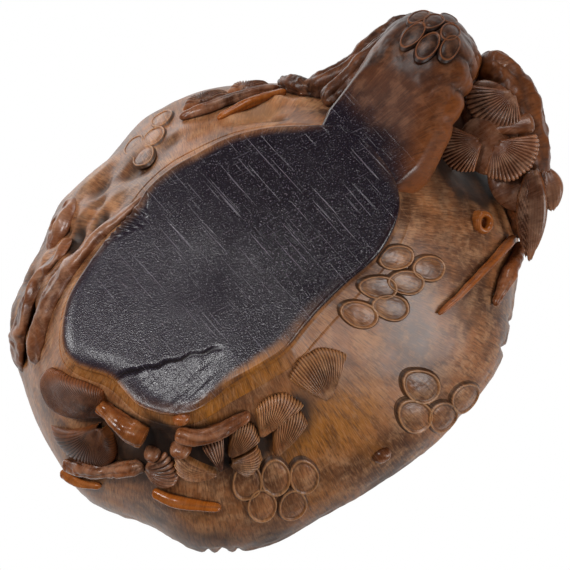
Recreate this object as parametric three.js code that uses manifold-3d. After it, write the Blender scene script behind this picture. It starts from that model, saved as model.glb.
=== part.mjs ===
// A small libation cup carved from a horn: a dark flat foot, a flaring bowl, a pine trunk that
// grows out of the foot and turns up as the handle, and pine branches, needle fans and bark
// scales in relief round the wall. Millimetres, +Z up. The origin is the middle of the foot's
// flat face, +X points to the handle, and a bearing is counted from +X towards +Y.
import * as THREE from 'three';
import { mergeVertices } from 'three/addons/utils/BufferGeometryUtils.js';
import Module from 'manifold-3d';

const wasm = await Module();
wasm.setup();

// Driving dimensions of the cup
const CUP_HEIGHT = 50; // foot face to the highest point of the rim
const FOOT_HEIGHT = 5.5; // solid foot below the bowl
const FLOOR_THICKNESS = 4.5; // bowl floor at its middle
const BOWL_WALL = 4.5; // measured level, at the foot of the bowl
const LIP_THICKNESS = 2.8; // the wall thins towards the rim
const LIP_CREST = 1.2; // rise of the rounded lip
const FOOT_EDGE = 0.8; // rounding of the foot's lower edge
const SEAT_GAP = 0.3; // between any two neighbouring pieces
const RELIEF_GAP = 0.36; // under relief that follows the wall

// Outlines of the foot and of the rim seen from above: a mean radius, and the share of it that
// each bearing has, for every 15 degrees
const FOOT_RADIUS = 27;
const FOOT_OUTLINE = [
  1.296, 1.285, 1.119, 0.896, 0.793, 0.774, 0.815, 0.852, 0.944, 1.148, 1.215, 1.181,
  1.33, 1.204, 0.993, 0.852, 0.77, 0.774, 0.778, 0.796, 0.867, 0.956, 1.074, 1.233,
];
const RIM_RADIUS = 48.8;
const RIM_OUTLINE = [
  1.14, 1.115, 1.05, 1.02, 0.955, 0.914, 0.895, 0.916, 0.99, 1.039, 1.014, 1.076,
  1.066, 1.066, 1.086, 0.994, 0.994, 0.936, 0.973, 0.994, 0.984, 0.994, 1.04, 1.1,
];
// The rim dips below its highest point by a share of this, for the same bearings
const RIM_DIP = 5;
const DIP_OUTLINE = [
  0.2, 0.3, 0.4, 0.6, 0.8, 0.9, 1, 0.9, 0.7, 0.5, 0.3, 0.1,
  0, 0.1, 0.3, 0.6, 0.7, 0.8, 0.8, 0.7, 0.6, 0.5, 0.4, 0.3,
];
const STRAIGHT_SHARE = 0.06; // the wall stands straight this far up, then flares
const FLOOR_ROUNDING = 2.6; // how soon the bowl's floor turns up into its side

const HORN = { color: 0x9d6e4c, roughness: 0.38, metalness: 0 };
const DARK_HORN = { color: 0x352d34, roughness: 0.34, metalness: 0 };
const CARVED_HORN = { color: 0x7a4c30, roughness: 0.42, metalness: 0 };
const AMBER_HORN = { color: 0x9b5a28, roughness: 0.36, metalness: 0 };

const SAME = 1e-3; // closer than this counts as the same place
const cup = new THREE.Group();
const turn = THREE.MathUtils.degToRad;

// A smooth closed curve through values spaced evenly round the cup
function around(values, bearing) {
  const count = values.length;
  const place = ((((bearing % 360) + 360) % 360) / 360) * count;
  const first = Math.floor(place);
  const f = place - first;
  const [a, b, c, d] = [-1, 0, 1, 2].map((k) => values[(first + k + count) % count]);
  return b + 0.5 * f * (c - a + f * (2 * a - 5 * b + 4 * c - d + f * (3 * (b - c) + d - a)));
}

const rimHeight = (bearing) => CUP_HEIGHT - RIM_DIP * around(DIP_OUTLINE, bearing);

// Radius of the outer wall at a share of its height, 0 at the foot face and 1 at the rim
function wallRadius(bearing, share) {
  const flare = THREE.MathUtils.clamp((share - STRAIGHT_SHARE) / (1 - STRAIGHT_SHARE), 0, 1);
  const foot = FOOT_RADIUS * around(FOOT_OUTLINE, bearing);
  const rim = RIM_RADIUS * around(RIM_OUTLINE, bearing);
  return foot + (rim - foot) * Math.sin((flare * Math.PI) / 2);
}

function polar(bearing, radius, z) {
  const angle = turn(bearing);
  return new THREE.Vector3(radius * Math.cos(angle), radius * Math.sin(angle), z);
}

const onWall = (bearing, share) =>
  polar(bearing, wallRadius(bearing, share), rimHeight(bearing) * share);

// Unit vectors along the wall, up the wall and out of it, with the lengths of a degree and a share
const PROBE_TURN = 4; // degrees between the two places that show the way along
const PROBE_RISE = 0.04; // shares between the two that show the way up

function wallFrame(bearing, share) {
  const ahead = onWall(bearing + PROBE_TURN / 2, share);
  const along = ahead.sub(onWall(bearing - PROBE_TURN / 2, share));
  const low = Math.max(share - PROBE_RISE / 2, STRAIGHT_SHARE);
  const up = onWall(bearing, low + PROBE_RISE).sub(onWall(bearing, low));
  const perDegree = along.length() / PROBE_TURN;
  const perShare = up.length() / PROBE_RISE;
  const out = new THREE.Vector3().crossVectors(along, up).normalize();
  return { along: along.normalize(), up: up.normalize(), out, perDegree, perShare };
}

// A point beside the wall, pushed out level from it
const besideWall = ([bearing, share, standOff]) =>
  polar(bearing, wallRadius(bearing, share) + standOff, rimHeight(bearing) * share);

// A point above the wall, pushed out square to it
function aboveWall([bearing, share, out]) {
  return onWall(bearing, share).addScaledVector(wallFrame(bearing, share).out, out);
}

// The same place, raised
const lifted = (place, rise) => (u, v, out) => place(u, v, out + rise);

// The closed solid of a geometry, turned to face outwards
function solidOf(geometry) {
  geometry.deleteAttribute('normal');
  geometry.deleteAttribute('uv');
  const merged = mergeVertices(geometry, SAME / 10);
  const triVerts = new Uint32Array(merged.index.array);
  const vertProperties = merged.attributes.position.array;
  const made = new wasm.Manifold(new wasm.Mesh({ numProp: 3, vertProperties, triVerts }));
  if (made.volume() > 0) return made;
  for (let i = 0; i < triVerts.length; i += 3) {
    [triVerts[i + 1], triVerts[i + 2]] = [triVerts[i + 2], triVerts[i + 1]];
  }
  return new wasm.Manifold(new wasm.Mesh({ numProp: 3, vertProperties, triVerts }));
}

// Moves each vertex of a geometry to where the given function puts it
function reshape(geometry, target) {
  const position = geometry.attributes.position;
  const vertex = new THREE.Vector3();
  for (let i = 0; i < position.count; i += 1) {
    vertex.fromBufferAttribute(position, i);
    const moved = target(vertex);
    position.setXYZ(i, moved.x, moved.y, moved.z);
  }
  return geometry;
}

// The largest single body of a solid, since a cut can leave crumbs beside it
function mainBody(solid) {
  const bodies = solid.decompose();
  return bodies.reduce((best, body) => (body.volume() > best.volume() ? body : best));
}

function addPiece(name, solid, look) {
  const mesh = solid.getMesh();
  const geometry = new THREE.BufferGeometry();
  geometry.setAttribute('position', new THREE.BufferAttribute(mesh.vertProperties, 3));
  geometry.setIndex(new THREE.BufferAttribute(mesh.triVerts, 1));
  geometry.computeVertexNormals();
  const piece = new THREE.Mesh(geometry, new THREE.MeshStandardMaterial(look));
  piece.name = name;
  cup.add(piece);
}

// A closed skin of rings round the cup's axis: a pole, the given rings, and a second pole
function turnedSkin(rings, firstPole, lastPole, sides) {
  const geometry = new THREE.SphereGeometry(1, sides, rings.length + 1);
  const stations = rings.length + 1;
  return reshape(geometry, (vertex) => {
    const down = Math.acos(THREE.MathUtils.clamp(vertex.y, -1, 1)) / Math.PI;
    const station = Math.round(down * stations);
    if (station === 0) return new THREE.Vector3(0, 0, firstPole);
    if (station === stations) return new THREE.Vector3(0, 0, lastPole);
    const bearing = THREE.MathUtils.radToDeg(Math.atan2(vertex.z, vertex.x));
    return rings[station - 1](bearing);
  });
}

// Foot and bowl
const ROUND_SIDES = 60;
const WALL_RINGS = 9;
const INSIDE_RINGS = 8;

function footSolid(grow = 0) {
  const ring = (inset, z) => (bearing) =>
    polar(bearing, wallRadius(bearing, z / rimHeight(bearing)) - inset + grow, z);
  const rings = [ring(FOOT_EDGE, -grow), ring(0, FOOT_EDGE - grow), ring(0, FOOT_HEIGHT + grow)];
  return solidOf(turnedSkin(rings, -grow, FOOT_HEIGHT + grow, ROUND_SIDES));
}

function bowlSolid(grow = 0) {
  const base = FOOT_HEIGHT + SEAT_GAP;
  const floor = base + FLOOR_THICKNESS;
  const outer = (step) => (bearing) => {
    const low = base / rimHeight(bearing);
    const share = low + (1 - low) * step;
    const z = rimHeight(bearing) * share - (step === 0 ? grow : 0);
    return polar(bearing, wallRadius(bearing, share) + grow, z);
  };
  const lip = (inset, rise) => (bearing) =>
    polar(bearing, wallRadius(bearing, 1) - inset, rimHeight(bearing) + rise);
  const inner = (step) => (bearing) => {
    const turnIn = (step * Math.PI) / 2;
    const top = rimHeight(bearing);
    const z = floor + (top - floor) * (1 - Math.cos(turnIn));
    const wall = BOWL_WALL + (LIP_THICKNESS - BOWL_WALL) * step;
    const rounding = Math.sin(Math.min(FLOOR_ROUNDING * turnIn, Math.PI / 2));
    return polar(bearing, (wallRadius(bearing, z / top) - wall) * rounding, z);
  };
  const steps = (count) => Array.from({ length: count }, (_, k) => k / (count - 1));
  const rings = [
    ...steps(WALL_RINGS).map(outer),
    lip(LIP_THICKNESS / 2, LIP_CREST / 2 + grow),
    ...steps(INSIDE_RINGS).slice(1).reverse().map(inner),
  ];
  return solidOf(turnedSkin(rings, base - grow, floor, ROUND_SIDES));
}

// Limbs: rounded bars along a smooth curve through a few stops. A limb that stands free is
// measured level from the wall, and one that lies on the wall is measured square to it.
function limbFrame(limb, t) {
  const { bearings, shares, standOffs, halfWidths, halfDepths } = limb;
  const place = limb.free ? besideWall : aboveWall;
  const stops = bearings.map((bearing, k) => place([bearing, shares[k], standOffs[k]]));
  const curve = new THREE.CatmullRomCurve3(stops);
  const point = curve.getPoint(t);
  const tangent = curve.getTangent(t);
  const at = t * (stops.length - 1);
  const first = Math.min(Math.floor(at), stops.length - 2);
  const between = (values) => THREE.MathUtils.lerp(values[first], values[first + 1], at - first);
  const [bearing, share, width, depth] = [bearings, shares, halfWidths, halfDepths].map(between);
  const level = new THREE.Vector3(-Math.sin(turn(bearing)), Math.cos(turn(bearing)), 0);
  const { out } = wallFrame(bearing, Math.max(share, STRAIGHT_SHARE));
  const side = limb.levelSide ? level : new THREE.Vector3().crossVectors(tangent, out);
  side.addScaledVector(tangent, -side.dot(tangent)).normalize();
  const depthAxis = new THREE.Vector3().crossVectors(side, tangent).normalize();
  return { point, tangent, side, depthAxis, width, depth, length: curve.getLength() };
}

// How full the section is along a limb: rounded at both ends, over the given share of the length
function fullness(t, blunt) {
  const start = Math.max(0, 1 - t / blunt);
  const end = Math.max(0, 1 - (1 - t) / blunt);
  return Math.sqrt(Math.max(0, 1 - start * start)) * Math.sqrt(Math.max(0, 1 - end * end));
}

function limbSolid(limb, grow = 0) {
  const { sides = 9, steps = 9, blunt = 0.08 } = limb;
  const frames = new Map();
  const frameAt = (t) => {
    const key = Math.round(t * steps);
    if (!frames.has(key)) frames.set(key, limbFrame(limb, key / steps));
    return frames.get(key);
  };
  return solidOf(
    reshape(new THREE.SphereGeometry(1, sides, steps), (vertex) => {
      const down = Math.acos(THREE.MathUtils.clamp(vertex.y, -1, 1)) / Math.PI;
      const station = Math.round(down * steps);
      const frame = frameAt(station / steps);
      const full = fullness(station / steps, blunt);
      const angle = Math.atan2(vertex.z, vertex.x);
      const atEnd = station === 0 || station === steps;
      const spread = atEnd ? 0 : grow;
      const push = atEnd ? grow * Math.sign(station - 1) : 0;
      return frame.point
        .clone()
        .addScaledVector(frame.side, (frame.width * full + spread) * Math.cos(angle))
        .addScaledVector(frame.depthAxis, (frame.depth * full + spread) * Math.sin(angle))
        .addScaledVector(frame.tangent, push);
    }),
  );
}

// Patches: local places (u, v, out) laid on the wall, on a limb, or held free in space.
// The heading turns u away from the wall's own direction.
function headed(heading, place) {
  const c = Math.cos(turn(heading));
  const s = Math.sin(turn(heading));
  return (u, v, out) => place(u * c - v * s, u * s + v * c, out);
}

function wallPatch(bearing, share, heading = 0) {
  const frame = wallFrame(bearing, share);
  return headed(heading, (u, v, out) =>
    aboveWall([bearing + u / frame.perDegree, share + v / frame.perShare, RELIEF_GAP + out]),
  );
}

function limbPatch(limb, along, round, heading = 0) {
  const middle = limbFrame(limb, along);
  const girth = (middle.width + middle.depth) / 2;
  return headed(heading, (u, v, out) => {
    const frame = limbFrame(limb, along + v / middle.length);
    const angle = turn(round) + u / girth;
    const lift = RELIEF_GAP + out;
    return frame.point
      .clone()
      .addScaledVector(frame.side, (frame.width + lift) * Math.cos(angle))
      .addScaledVector(frame.depthAxis, (frame.depth + lift) * Math.sin(angle));
  });
}

function freePatch(stop, aim, facing, heading = 0) {
  const origin = besideWall(stop);
  const out = new THREE.Vector3(...facing).normalize();
  const uAxis = besideWall(aim).sub(origin);
  uAxis.addScaledVector(out, -uAxis.dot(out)).normalize();
  const vAxis = new THREE.Vector3().crossVectors(out, uAxis);
  return headed(heading, (u, v, rise) =>
    origin.clone().addScaledVector(uAxis, u).addScaledVector(vAxis, v).addScaledVector(out, rise),
  );
}

// A low dome with a flat back that follows its patch
const DOME_SIDES = 14;
const DOME_RINGS = 4;

function domeSolid(
  place, halfLength, halfWidth, height, grow = 0, sides = DOME_SIDES, rings = DOME_RINGS,
) {
  return solidOf(
    reshape(new THREE.SphereGeometry(1, sides, rings), ({ x, y, z }) => {
      const flat = Math.abs(y) < SAME;
      const out = y > 0 ? y * height + grow : -grow;
      return place(x * (halfLength + grow), z * (halfWidth + grow), flat ? 0 : out);
    }),
  );
}

// A fan of pine needles: ridged, scalloped at its edge, hinged at the patch's origin. With a
// skew it reaches further on one side than on the other.
const FAN_NEEDLES = 7; // bundles of needles in a fan
const FAN_THICKNESS = 1.3; // at its thickest, halfway out
const FAN_EDGE_SHARE = 0.65; // thickness at the hinge and at the outer edge, as a share of that
const FAN_HINGE = 1.2; // radius of the hinge
const NEEDLE_RIDGE = 0.3; // a bundle stands this far above the groove beside it
const NOTCH_SHARE = 0.93; // reach of a groove, as a share of a bundle's
const FAN_ROUNDING = 0.12; // share of the reach lost at the fan's two sides

function fanSolid(place, { reach, spread, skew = 0 }, grow = 0) {
  const columns = FAN_NEEDLES * 2;
  const halfSpread = turn(spread) / 2 + grow / reach;
  return solidOf(
    reshape(new THREE.BoxGeometry(1, 1, 1, columns, 2, 1), ({ x, y, z }) => {
      const onRidge = Math.round((x + 0.5) * columns) % 2;
      const angle = 2 * x * halfSpread;
      const outline = (1 + skew * 2 * x) * (1 - FAN_ROUNDING * (2 * x) ** 2);
      const edge = reach * outline * (onRidge ? 1 : NOTCH_SHARE);
      const out = y + 0.5;
      const radius = FAN_HINGE - grow + (edge + 2 * grow - FAN_HINGE) * out;
      const fullness = FAN_EDGE_SHARE + (1 - FAN_EDGE_SHARE) * Math.sin(out * Math.PI);
      const crown = FAN_THICKNESS * fullness + (onRidge ? NEEDLE_RIDGE : 0);
      return place(radius * Math.cos(angle), radius * Math.sin(angle), z > 0 ? crown + grow : -grow);
    }),
  );
}

// A short stub with a blind hole, standing on its patch
const KNOT_RADIUS = 2.3;
const KNOT_HEIGHT = 2.6;
const KNOT_HOLE = 1.1; // radius of the hole at its mouth
const KNOT_HOLE_FOOT = 0.88; // and at its bottom
const KNOT_HOLE_DEPTH = 1.7;
const KNOT_SIDES = 14;

function hollowStub(place, grow = 0) {
  const outline = [
    [0, -grow],
    [KNOT_RADIUS + grow, -grow],
    [KNOT_RADIUS + grow, KNOT_HEIGHT + grow],
    [KNOT_HOLE, KNOT_HEIGHT + grow],
    [KNOT_HOLE_FOOT, KNOT_HEIGHT - KNOT_HOLE_DEPTH],
    [0, KNOT_HEIGHT - KNOT_HOLE_DEPTH],
  ];
  const points = outline.map(([r, h]) => new THREE.Vector2(r, h));
  const lathe = new THREE.LatheGeometry(points, KNOT_SIDES);
  return solidOf(reshape(lathe, ({ x, y, z }) => place(x, z, y)));
}

// Bark scales: ovals with a raised middle on a thin shared ground
const SCALE_LENGTH = 4.8; // half length
const SCALE_WIDTH = 3.2; // half width
const SCALE_HEIGHT = 0.9;
const SCALE_GROUND = 0.5;
const GROUND_OVERLAP = 0.12; // the ovals start this far inside their ground
const SCALE_SIDES = 10;
const SCALE_RINGS = 4;
const GROUND_RINGS = 6;

function scaleGroup(group, grow = 0) {
  const { bearing, share, halfWidth, halfLength, scales, fineness = 1, patch = wallPatch } = group;
  const ground = patch(bearing, share);
  const base = domeSolid(ground, halfWidth, halfLength, SCALE_GROUND, grow, DOME_SIDES, GROUND_RINGS);
  const [long, wide] = [SCALE_LENGTH * fineness, SCALE_WIDTH * fineness];
  return scales.reduce((body, [at, up]) => {
    const place = lifted(patch(at, up, 90), GROUND_OVERLAP);
    return body.add(domeSolid(place, long, wide, SCALE_HEIGHT, grow, SCALE_SIDES, SCALE_RINGS));
  }, base);
}

// The pine trunk rises from the foot, swings out and turns up to the rim
const TRUNK = {
  free: true, levelSide: true, sides: 18, steps: 15, blunt: 0.1,
  bearings: [-2.4, -6.6, -12.2, -16.6, -19.2, -19.8, -19.8, -19.8],
  shares: [0.13, 0.145, 0.165, 0.26, 0.43, 0.62, 0.79, 0.92],
  standOffs: [-12.8, -1.6, 8.9, 15.2, 15.7, 13.1, 7.4, -1.5],
  halfWidths: [12.5, 12.8, 11.2, 10.4, 9.4, 8.4, 7.6, 6.8],
  halfDepths: [7, 7.6, 8.6, 8.8, 7.4, 6, 5.2, 4.4],
};
const trunkPatch = (round, along, heading) => limbPatch(TRUNK, along, round, heading);

// Branches, roots and twigs
const LIMBS = {
  outer_branch: {
    free: true, sides: 10, steps: 15,
    bearings: [-13.3, -10.1, -6.1, -1.9, 2.5, 6.7, 9.9, 12.8, 15.8],
    shares: [0.59, 0.63, 0.65, 0.65, 0.67, 0.71, 0.77, 0.85, 0.93],
    standOffs: [14.6, 15.6, 15, 12.9, 10.5, 8.2, 5.2, 2.4, 0],
    halfWidths: [4.4, 4.6, 4.6, 4.8, 5.2, 5.2, 4.8, 4.2, 3.4],
    halfDepths: [4.2, 4.2, 4.2, 4.2, 4.2, 4.2, 4, 3.6, 2.8],
  },
  branch_stub: {
    free: true,
    bearings: [-10.8, -11.3, -11.6],
    shares: [0.62, 0.59, 0.565],
    standOffs: [16.2, 18, 19.6],
    halfWidths: [2.6, 2.8, 2.4],
    halfDepths: [2.6, 2.8, 2.4],
  },
  root_ridge_outer: {
    free: true, steps: 11,
    bearings: [-42, -37.5, -31.5, -29, -27, -24.5],
    shares: [0.5, 0.43, 0.4, 0.4, 0.42, 0.46],
    standOffs: [0.6, 2.6, 7.8, 13.4, 18, 20],
    halfWidths: [2.4, 2.8, 3, 3.2, 3, 2.4],
    halfDepths: [2.2, 2.8, 3, 3, 2.8, 2.4],
  },
  root_ridge_inner: {
    free: true, steps: 11,
    bearings: [-31, -28, -26, -24, -21.5],
    shares: [0.22, 0.23, 0.23, 0.24, 0.28],
    standOffs: [2.5, 8.4, 14, 19.4, 22.8],
    halfWidths: [2.4, 2.7, 2.8, 2.8, 2.4],
    halfDepths: [2.4, 2.7, 2.8, 2.8, 2.4],
  },
  fan_stem: {
    free: true,
    bearings: [1.7, 0.3, -1.4, -3.3],
    shares: [0.541, 0.527, 0.514, 0.507],
    standOffs: [15.8, 12.1, 8.5, 5.3],
    halfWidths: [2.8, 2.8, 2.6, 2.2],
    halfDepths: [1.5, 1.5, 1.4, 1.3],
  },
  long_twig: {
    bearings: [18, 24, 30.3, 36.9, 42.9],
    shares: [0.78, 0.63, 0.53, 0.46, 0.42],
    standOffs: [0.9, 0.9, 0.8, 0.7, 0.4],
    halfWidths: [1.1, 0.9, 0.8, 0.7, 0.6],
    halfDepths: [1.3, 1.2, 1.1, 1, 0.8],
  },
  forked_twig: {
    bearings: [18.5, 22, 26.8, 30.4, 35],
    shares: [0.87, 0.82, 0.74, 0.715, 0.7],
    standOffs: [0.9, 1, 1.3, 1.1, 0.6],
    halfWidths: [1.3, 1.3, 1.9, 1.4, 1],
    halfDepths: [1.5, 1.6, 2, 1.5, 1],
  },
  amber_twig: {
    bearings: [145, 138, 127.5],
    shares: [0.5, 0.49, 0.54],
    standOffs: [0.7, 1, 0.7],
    halfWidths: [1.4, 1.5, 1],
    halfDepths: [1.2, 1.5, 1.2],
  },
  low_branch_long: {
    bearings: [148, 154.8, 162.2, 170],
    shares: [0.36, 0.445, 0.53, 0.66],
    standOffs: [0.8, 1.2, 1.3, 0.9],
    halfWidths: [1.5, 1.7, 1.8, 1.5],
    halfDepths: [1.5, 1.7, 1.8, 1.5],
  },
  low_branch_short: {
    bearings: [159.7, 165.9, 170.9],
    shares: [0.64, 0.72, 0.78],
    standOffs: [0.4, 0.7, 0.8],
    halfWidths: [0.8, 1.2, 1.3],
    halfDepths: [0.8, 1.2, 1.3],
  },
  cut_branch: {
    blunt: 0.04,
    bearings: [165.2, 157.8, 151.5, 147],
    shares: [0.185, 0.165, 0.155, 0.165],
    standOffs: [0.8, 1.8, 2.2, 2],
    halfWidths: [1.6, 2.1, 2.5, 2.4],
    halfDepths: [1.6, 2.1, 2.5, 2.4],
  },
  foot_branch: {
    bearings: [138.6, 134.3, 127.5, 121, 114.3],
    shares: [0.13, 0.15, 0.17, 0.185, 0.18],
    standOffs: [0.8, 1.2, 1.2, 1, 0.5],
    halfWidths: [1.6, 1.8, 1.8, 1.6, 1],
    halfDepths: [1.6, 1.7, 1.7, 1.5, 1],
  },
  spout_ridge_inner: {
    steps: 11,
    bearings: [227, 214, 204, 196, 192.5],
    shares: [0.15, 0.2, 0.25, 0.31, 0.44],
    standOffs: [0.4, 1, 1.4, 1.6, 1.2],
    halfWidths: [1.2, 1.3, 1.4, 1.6, 1.6],
    halfDepths: [1.4, 1.8, 2, 2.2, 1.8],
  },
  spout_ridge_outer: {
    bearings: [213, 206, 201, 197],
    shares: [0.42, 0.5, 0.6, 0.74],
    standOffs: [0.4, 0.9, 1.1, 0.6],
    halfWidths: [1.4, 1.6, 1.8, 1.6],
    halfDepths: [1.5, 1.8, 1.8, 1.6],
  },
  far_twig: {
    steps: 11,
    bearings: [280.5, 289, 297, 305, 310],
    shares: [0.38, 0.36, 0.39, 0.45, 0.52],
    standOffs: [0.7, 0.9, 0.9, 0.9, 0.6],
    halfWidths: [1.1, 1.3, 1.3, 1.3, 1],
    halfDepths: [1.1, 1.4, 1.4, 1.3, 1],
  },
  far_amber_twig: {
    bearings: [294, 304.5, 313],
    shares: [0.26, 0.33, 0.46],
    standOffs: [0.4, 0.8, 0.6],
    halfWidths: [0.9, 1.2, 1],
    halfDepths: [0.9, 1.2, 1],
  },
  far_branch: {
    bearings: [309, 312, 317, 322],
    shares: [0.62, 0.55, 0.48, 0.46],
    standOffs: [0.6, 1, 1.4, 1.2],
    halfWidths: [1.4, 1.9, 2.2, 2],
    halfDepths: [1.4, 1.9, 2.2, 2],
  },
};

// Needle fans on the wall, from their hinge
const WALL_FANS = {
  near_fan_right: { bearing: 87, share: 0.318, heading: -110, reach: 10.6, spread: 88 },
  near_fan_middle: {
    bearing: 113.6, share: 0.297, heading: -138, reach: 8.8, spread: 72, skew: -0.36,
  },
  near_fan_lower: { bearing: 110.8, share: 0.408, heading: -135, reach: 10, spread: 52 },
  near_fan_small: { bearing: 124.4, share: 0.312, heading: -145, reach: 7.6, spread: 68 },
  near_fan_tail: { bearing: 124.4, share: 0.33, heading: 150, reach: 7, spread: 58 },
  needle_tuft: { bearing: 126, share: 0.36, heading: -81, reach: 8.4, spread: 28 },
  near_fan_left: { bearing: 126.4, share: 0.36, heading: -21, reach: 9, spread: 38, skew: -0.2 },
  scalloped_fan: { bearing: 148, share: 0.36, heading: 180, reach: 7.4, spread: 110, skew: 0.12 },
  left_fan_upper: {
    bearing: 161.4, share: 0.208, heading: -4, reach: 13.8, spread: 104, skew: 0.52,
  },
  left_fan_lower: {
    bearing: 162.9, share: 0.263, heading: 102, reach: 13, spread: 86, skew: -0.75,
  },
  far_fan: { bearing: 288.5, share: 0.41, heading: 78, reach: 6.8, spread: 120 },
  far_fan_high: { bearing: 301, share: 0.47, heading: 84, reach: 6.4, spread: 110 },
};
// Needle fans that stand free. Hinge and aim are [bearing, share, stand-off]
const DOWNWARD = [0, 0.3, -0.95];
const FREE_FANS = {
  handle_fan_left: {
    hinge: [0.9, 0.453, 7.2], aim: [-0.2, 0.453, -0.9],
    facing: DOWNWARD, reach: 8.6, spread: 92, skew: -0.24,
  },
  handle_fan_right: {
    hinge: [1.8, 0.489, 8.2], aim: [9, 0.491, 10.2],
    facing: DOWNWARD, reach: 7.2, spread: 112, skew: 0.12,
  },
  handle_fan_upper: {
    hinge: [-4, 0.478, 17.7], aim: [-2.5, 0.478, 10.5],
    facing: DOWNWARD, reach: 7.8, spread: 104, skew: -0.26,
  },
  rim_fan_upper: {
    hinge: [8.6, 0.554, 11.7], aim: [24.1, 0.788, 4.2],
    facing: [-0.26, 0.48, -0.84], reach: 20, spread: 28,
  },
  rim_fan_outer: {
    hinge: [9.3, 0.595, 13.2], aim: [16.6, 0.681, 10.7],
    facing: [-0.17, 0.4, -0.9], reach: 9, spread: 40,
  },
};

// Knobs and knots on the wall
const KNOBS = {
  wall_knot: { bearing: 83, share: 0.73, halfLength: 2, halfWidth: 1.7, height: 1.2 },
  foot_tip_knob: { bearing: 137, share: 0.07, halfLength: 1.7, halfWidth: 1.5, height: 1.5 },
  branch_knot: { bearing: 137, share: 0.21, halfLength: 2.1, halfWidth: 1.8, height: 2.6 },
  low_knot: { bearing: 145.5, share: 0.27, halfLength: 1.7, halfWidth: 1.6, height: 2.2 },
  rock_lobe: { bearing: 232, share: 0.52, halfLength: 6, halfWidth: 5, height: 1.6 },
};
// The hollow knot stands on the wall and faces outwards and down
const HOLLOW_KNOT = {
  hollow_knot: { base: [17, 0.51, -0.4], aim: [30, 0.51, -0.4], facing: [0.5, 0.58, -0.64] },
};

const SCALE_GROUPS = {
  rim_bark_scales: {
    bearing: 63.5, share: 0.73, halfWidth: 8, halfLength: 10.5,
    scales: [[62, 0.58], [69.5, 0.67], [64.5, 0.82], [57.5, 0.84]],
  },
  side_bark_scales: {
    bearing: 112.5, share: 0.58, halfWidth: 8.5, halfLength: 8.5,
    scales: [[119.5, 0.48], [112, 0.51], [104.5, 0.59], [117.5, 0.64], [110, 0.7]],
    fineness: 0.94,
  },
  foot_bark_scales: {
    bearing: 39.5, share: 0.19, halfWidth: 9.5, halfLength: 6.5,
    scales: [[31, 0.13], [42, 0.14], [54, 0.17], [46.5, 0.24], [31.5, 0.28], [38, 0.24]],
    fineness: 0.8,
  },
  far_bark_scales: {
    bearing: 268.5, share: 0.4, halfWidth: 6, halfLength: 6.5,
    scales: [[275, 0.49], [270.5, 0.37], [263.5, 0.45], [263.5, 0.29]],
    fineness: 0.84,
  },
  trunk_bark_scales: {
    patch: trunkPatch,
    bearing: 96, share: 0.43, halfWidth: 6, halfLength: 6,
    scales: [
      [112, 0.39], [92, 0.375], [72, 0.4], [104, 0.455], [82, 0.445], [122, 0.46], [94, 0.51],
    ],
    fineness: 0.66,
  },
};
const knobSolid = ({ bearing, share, halfLength, halfWidth, height }, grow) =>
  domeSolid(wallPatch(bearing, share), halfLength, halfWidth, height, grow);
const wallFanSolid = (fan, grow) =>
  fanSolid(wallPatch(fan.bearing, fan.share, fan.heading), fan, grow);
const freeFanSolid = (fan, grow) =>
  fanSolid(freePatch(fan.hinge, fan.aim, fan.facing), fan, grow);
const hollowKnotSolid = ({ base, aim, facing }, grow) =>
  hollowStub(freePatch(base, aim, facing), grow);
const makers = (pieces, solid) =>
  Object.entries(pieces).map(([name, piece]) => [name, (grow) => solid(piece, grow)]);
// Every relief piece, those that lie in front first: what passes behind is cut back by the gap
const relief = [
  ...makers(LIMBS, limbSolid),
  ...makers(KNOBS, knobSolid),
  ...makers(HOLLOW_KNOT, hollowKnotSolid),
  ...makers(FREE_FANS, freeFanSolid),
  ...makers(WALL_FANS, wallFanSolid),
  ...makers(SCALE_GROUPS, scaleGroup),
];

const meets = (a, b) => {
  const [p, q] = [a.boundingBox(), b.boundingBox()];
  return [0, 1, 2].every((k) => p.min[k] < q.max[k] && q.min[k] < p.max[k]);
};
const without = (solid, others) =>
  others
    .filter((other) => meets(solid, other))
    .reduce((left, other) => left.subtract(other), solid);

const BENCH = 240; // a block below the foot, so that nothing reaches under it
const belowFoot = solidOf(new THREE.BoxGeometry(BENCH, BENCH, BENCH).translate(0, 0, -BENCH / 2));
const bodyRoom = [bowlSolid(SEAT_GAP), footSolid(SEAT_GAP), belowFoot];

addPiece('foot', footSolid(), DARK_HORN);
addPiece('bowl', bowlSolid(), HORN);
addPiece('trunk', mainBody(without(limbSolid(TRUNK), bodyRoom)), CARVED_HORN);

const AMBER_PIECES = ['amber_twig', 'cut_branch', 'low_branch_short', 'far_amber_twig'];
const taken = [limbSolid(TRUNK, SEAT_GAP)];
for (const [name, make] of relief) {
  const look = AMBER_PIECES.includes(name) ? AMBER_HORN : CARVED_HORN;
  addPiece(name, mainBody(without(make(0), [...bodyRoom, ...taken])), look);
  taken.push(make(SEAT_GAP));
}

export default cup;
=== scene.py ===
# %% [markdown]
# # A carved horn cup
# The real cup is one piece of horn: a dark flat foot, a flaring bowl, a pine trunk that turns up as
# the handle, and branches, needle fans and bark scales carved in relief round the wall. This lesson
# dresses the plain solids of the cup with finely carved forms and a horn finish.
#
# Every length below is in millimetres, as a carver would measure it, and becomes metres only when a
# mesh is made. A bearing is an angle round the cup, from the handle's side (+X) towards +Y. A share
# is a height on the wall, 0 at the foot's face and 1 at the rim.

# %% Load the solids and keep their box
import math

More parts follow.
